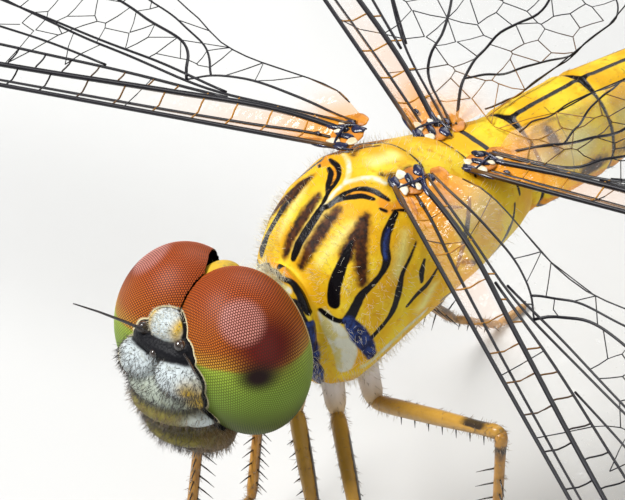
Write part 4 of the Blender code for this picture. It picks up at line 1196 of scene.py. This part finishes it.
def build_leg(label, finish, spine_finish, hair, seed):
    """Hip, thigh, shin, jointed foot and claws in one mesh, then its spines and short hair."""
    pair, side = label.split("_")
    mirror = np.array((1 if side == "left" else -1, 1, 1))
    root, hip = (np.array(point) * mirror for point in HIPS[pair])
    ankle, pole = (np.array(value) for value in STANCE[label][:2])
    knee = knee_place(hip, ankle, LEG_LENGTHS[pair], pole)
    sole, toe = (np.array((x, y, -STAND_HEIGHT + TARSUS_RADIUS)) for x, y in STANCE[label][2:])
    runs = (root, hip), (hip, knee), (knee, ankle), (ankle + (sole - ankle) * 0.02, sole), (sole, toe)
    at = np.unique(np.concatenate([np.linspace(0, 1, 13), np.linspace(0, .08, 4), np.linspace(.92, 1, 4)]))
    pieces, dark, pale, places = [], [], [], []
    for number, ((a, b), (shares, radii, light, sides, _)) in enumerate(zip(runs, LIMBS)):
        pieces.append(tube(a + np.outer(at, b - a), np.interp(at, shares, radii), sides))
        dark.append(limb_shade(pair, number, pieces[-1][0], a, b, at, sides))
        pale.append(light * np.append(np.repeat(1 - at * 0.4, sides), (1, 1)))
        turn = np.tile(np.arange(sides) / sides, len(at))
        round_it = np.column_stack([turn, (number + np.repeat(at, sides)) / len(LIMBS)])
        places.append(np.vstack([round_it, ((0.5, number / len(LIMBS)),) * 2]))
    run = unit(toe - sole)
    aside = np.cross(run, (0, 0, 1))
    for lean in (-1, 1):
        start = toe - run * 0.08
        claw = curve_through([start, start + run * 0.14 + aside * lean * 0.08 + (0, 0, 0.05),
                              start + run * 0.30 + aside * lean * 0.14 - (0, 0, 0.05)], 6)
        pieces.append(tube(claw, np.linspace(0.05, 0.012, 6), 7))
        count = len(pieces[-1][0])
        dark.append(np.ones(count))
        pale.append(np.zeros(count))
        places.append(np.full((count, 2), 0.98))
    names = ["leg_%s_%s" % (label, part) for part in ("coxa", "femur", "tibia", "foot")]
    leg = add_mesh("leg_skin_" + label, *join(pieces), finish, "leg", nodes=names,
                   fields={"dark": np.concatenate(dark), "pale": np.concatenate(pale)})
    add_mesh("leg_spines_" + label, *leg_spines((hip, knee, ankle, sole), pole), spine_finish, "leg")
    skin = surface(leg)
    spot = np.vstack(places)
    weights = np.where(spot[:, 1] < 0.95, 1.0, 0.0) * (skin[0][:, 2] > -STAND_HEIGHT + 0.5)
    weights *= np.where(spot[:, 1] < 0.2, 0.3, 1.0)
    coat("leg_hair_" + label, skin, weights, 700, 0.15, 0.007, (0.8, (toe - root) / 14, 0.25),
         0.35, spot, hair, "leg", seed)


# ---------------------------------------------------------------- hair

def round_places(points, middle, low, high, axis):
    """Where each point falls on the skin unrolled round an axis: turn and height from 0 to 1."""
    others = [k for k in range(3) if k != axis]
    turn = np.arctan2(points[:, others[0]] - middle[others[0]], points[:, others[1]] - middle[others[1]])
    return np.column_stack([turn / (2 * np.pi) + 0.5, np.clip((points[:, axis] - low) / (high - low), 0, 1)])


def build_body_hair(trunk, abdomen, head, hair):
    """Soft pale hair on the thorax, a ruff at the neck, bristles and down on the face."""
    def comb(skin, places, slot, rows):
        """Coats of hair: number, name, weights, count, length, radius, lie and tones."""
        for number, name, weights, count, length, radius, lie, tones in rows:
            coat(name, skin, weights, count, length, radius, lie, tones, places, hair, slot, SEED + number)

    points, normals = surface(trunk)
    x, y, z = points.T
    marks = np.empty((2, len(points)))
    for row, key in zip(marks, ("black", "brown")):
        trunk.data.attributes[key].data.foreach_get("value", row)
    front = np.clip((-1.2 - y) / 1.5, 0.05, 1) * (y > -3.10) * np.where(marks.min(0) < 0.08, 0.04, 1.0)
    front *= (1 + 2.0 * (np.abs(x) > 1.3) * (z > 0.8)) * (normals[:, 1] < 0.3) * (z > -1.5)
    under = (z < -1.0) * np.clip((-z - 0.8) / 1.5, 0, 1) * (y > -3.6)
    ruff = bell(y + 3.85, 0.16) * (z > 0.45) * (np.abs(x) < 0.42)
    back = (z > 2.2) * (y > -1.2) + (np.abs(x) > 1.9) * (y > -1.5) * 0.5
    tones = np.where(z < -1.0, 0.75, 0.85)
    comb((points, normals), round_places(points, (0, 0, 0), -4.6, 4.2, 1), "yellow_shell", (
        (1, "thorax_hair_front", front, 1400, 0.30, 0.0038, (0.9, (0, -0.10, 0.25), 0.22), tones),
        (2, "thorax_hair_under", under + 0.02, 2000, 0.27, 0.0050, (0.8, (0, 0.15, -0.35), 0.30), tones),
        (3, "neck_ruff", ruff + TRACE, 520, 0.50, 0.0055, (0.6, (0, -0.25, 0.40), 0.25), 0.95),
        (4, "thorax_hair_back", back + TRACE, 450, 0.20, 0.0045, (0.7, (0, 0.30, 0.1), 0.30), 0.75),
    ))
    points, normals = surface(abdomen)
    near = np.exp(-np.clip(points[:, 1] - 5.0, 0, None) / 3.0) + 0.12
    comb((points, normals), round_places(points, (0, 0, 1.0), 3.8, 30.8, 1), "yellow_shell", (
        (5, "abdomen_hair", near, 1500, 0.12, 0.0045, (0.45, (0, 0.9, 0), 0.22), 0.35),
    ))
    points, normals = surface(head)
    local = to_head(points)
    x, y, z = local.T
    ahead = normals @ HEAD_TURN[:, 1] < 0.25
    crown = (z > 0.78) * (y < -0.9) * (np.abs(x) < 0.55) + TRACE
    brow = ahead * (z > -1.15) * (z < 0.30) * (y < -1.2) + TRACE
    cheek = ahead * (z < -1.05) * (z > -1.95) * (y < -0.6) + TRACE
    mouth = ahead * (z < -1.75) * (y < -0.2) + TRACE
    nape = (y > 1.0) * (z > -2.0) * (z < 1.5) * (0.3 + (z > 0.6)) * np.where(np.abs(x) < 0.8, 1.0, 0.08) + TRACE
    cheek_tones, mouth_tones = np.where(z < -1.5, 0.12, 0.25), np.where(np.abs(x) > 0.9, 0.30, 0.12)
    comb((points, normals), round_places(local, (0, 0, 0), -3.2, 2.0, 2), "face", (
        (6, "vertex_hair", crown, 420, 0.11, 0.006, (0.6, (0, -0.3, 0.3), 0.35), 0.98),
        (11, "vertex_bristles", crown, 300, 0.13, 0.005, (0.5, (0, -0.3, 0.3), 0.35), 0.10),
        (7, "frons_bristles", brow, 1900, 0.21, 0.0060, (0.40, (0, -0.1, -0.60), 0.30), 0.05),
        (8, "clypeus_hair", cheek, 900, 0.22, 0.0060, (0.50, (0, -0.15, -0.50), 0.28), cheek_tones),
        (9, "mouth_hair", mouth, 1200, 0.24, 0.0060, (0.60, (0, -0.10, -0.50), 0.28), mouth_tones),
        (10, "nape_hair", nape, 1300, 0.40, 0.006, (0.7, (0, 0.25, 0.35), 0.30), 0.95),
    ))


# ---------------------------------------------------------------- stage

def build_stage():
    """Pale floor, soft lights and the camera."""
    mesh = bpy.data.meshes.new("floor")
    mesh.from_pydata([(x * FLOOR_HALF, y * FLOOR_HALF, 0) for x, y in ((-1, -1), (1, -1), (1, 1), (-1, 1))],
                     [], [(0, 1, 2, 3)])
    floor = bpy.data.objects.new("floor", mesh)
    bpy.context.scene.collection.objects.link(floor)
    paint = bpy.data.materials.new("pale_floor")
    paint.use_nodes = True
    shader = paint.node_tree.nodes["Principled BSDF"]
    shader.inputs["Base Color"].default_value = (0.60, 0.60, 0.59, 1)
    shader.inputs["Roughness"].default_value = 0.8
    mesh.materials.append(paint)

    world = bpy.data.worlds.new("studio")
    bpy.context.scene.world = world
    world.use_nodes = True
    sky = world.node_tree.nodes["Background"]
    sky.inputs["Color"].default_value = (0.95, 0.97, 1.0, 1)
    sky.inputs["Strength"].default_value = 0.30
    bpy.context.scene.view_settings.view_transform = "Standard"
    middle = Vector(MIDDLE) * MM
    for name, place, size, power in STUDIO_LIGHTS:
        light = bpy.data.lights.new(name, "AREA")
        light.size, light.energy = size, power
        lamp = bpy.data.objects.new(name, light)
        lamp.location = middle + Vector(place)
        lamp.rotation_euler = (-Vector(place)).to_track_quat("-Z", "Y").to_euler()
        bpy.context.scene.collection.objects.link(lamp)

    a, e, r = (math.radians(angle) for angle in (VIEW_AZIMUTH, VIEW_ELEVATION, VIEW_ROLL))
    away = Vector((math.sin(a) * math.cos(e), -math.cos(a) * math.cos(e), math.sin(e)))
    right = Vector((math.cos(a), math.sin(a), 0))
    upward = away.cross(right)
    right, upward = right * math.cos(r) + upward * math.sin(r), upward * math.cos(r) - right * math.sin(r)
    camera = bpy.data.objects.new("camera", bpy.data.cameras.new("camera"))
    place = middle + (away * VIEW_DISTANCE + right * VIEW_ASIDE + upward * VIEW_UP) * MM
    turn = Matrix((right, upward, away)).transposed().to_4x4()
    camera.matrix_world = Matrix.Translation(place) @ turn
    camera.data.lens, camera.data.sensor_width = VIEW_LENS, 36.0
    camera.data.clip_start, camera.data.clip_end = 0.01, 20.0
    bpy.context.scene.collection.objects.link(camera)
    bpy.context.scene.camera = camera


# ---------------------------------------------------------------- the model

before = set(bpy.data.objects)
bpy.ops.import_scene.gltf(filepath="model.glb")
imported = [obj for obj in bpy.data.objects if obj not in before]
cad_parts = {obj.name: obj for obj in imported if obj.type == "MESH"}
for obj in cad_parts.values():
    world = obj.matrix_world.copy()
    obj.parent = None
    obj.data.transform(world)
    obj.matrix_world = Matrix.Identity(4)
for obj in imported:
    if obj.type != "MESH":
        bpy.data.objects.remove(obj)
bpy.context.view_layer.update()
MIDDLE = np.array((0.0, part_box("thorax")[0].y / MM + THORAX_AHEAD, STAND_HEIGHT))
HEAD_TURN = np.array(head_frame().to_3x3())

build_stage()
shell, leg_skin, hair, lens = shell_finish(), leg_finish(), hair_finish(), eye_finish()
horn = plain_finish("black_horn", (0.012, 0.010, 0.010), (0.03, 0.02, 0.015), 4.0, 0.25, Coat_Weight=0.3)
head = build_head()
head_points, _ = surface(head)
tree = BVHTree.FromPolygons(head_points.tolist(), [p.vertices[:] for p in head.data.polygons])
trunk = build_trunk(shell)
abdomen = build_abdomen(shell)
membrane, vein = membrane_finish(), vein_finish()
stigma = plain_finish("stigma", (0.24, 0.13, 0.03), (0.10, 0.05, 0.015), 3.0, 0.35)
for side, label in ((1, "left"), (-1, "right")):
    build_eye(side, label, tree, lens)
    build_antenna(side, label, horn)
    build_wing("forewing", FOREWING, FORE_VEINS, side, label, membrane, vein, stigma, SEED + 20 + side)
    build_wing("hindwing", HINDWING, HIND_VEINS, side, label, membrane, vein, stigma, SEED + 30 + side)
build_hinges()
for number, label in enumerate(STANCE):
    build_leg(label, leg_skin, horn, hair, SEED + 40 + number)
build_body_hair(trunk, abdomen, head, hair)
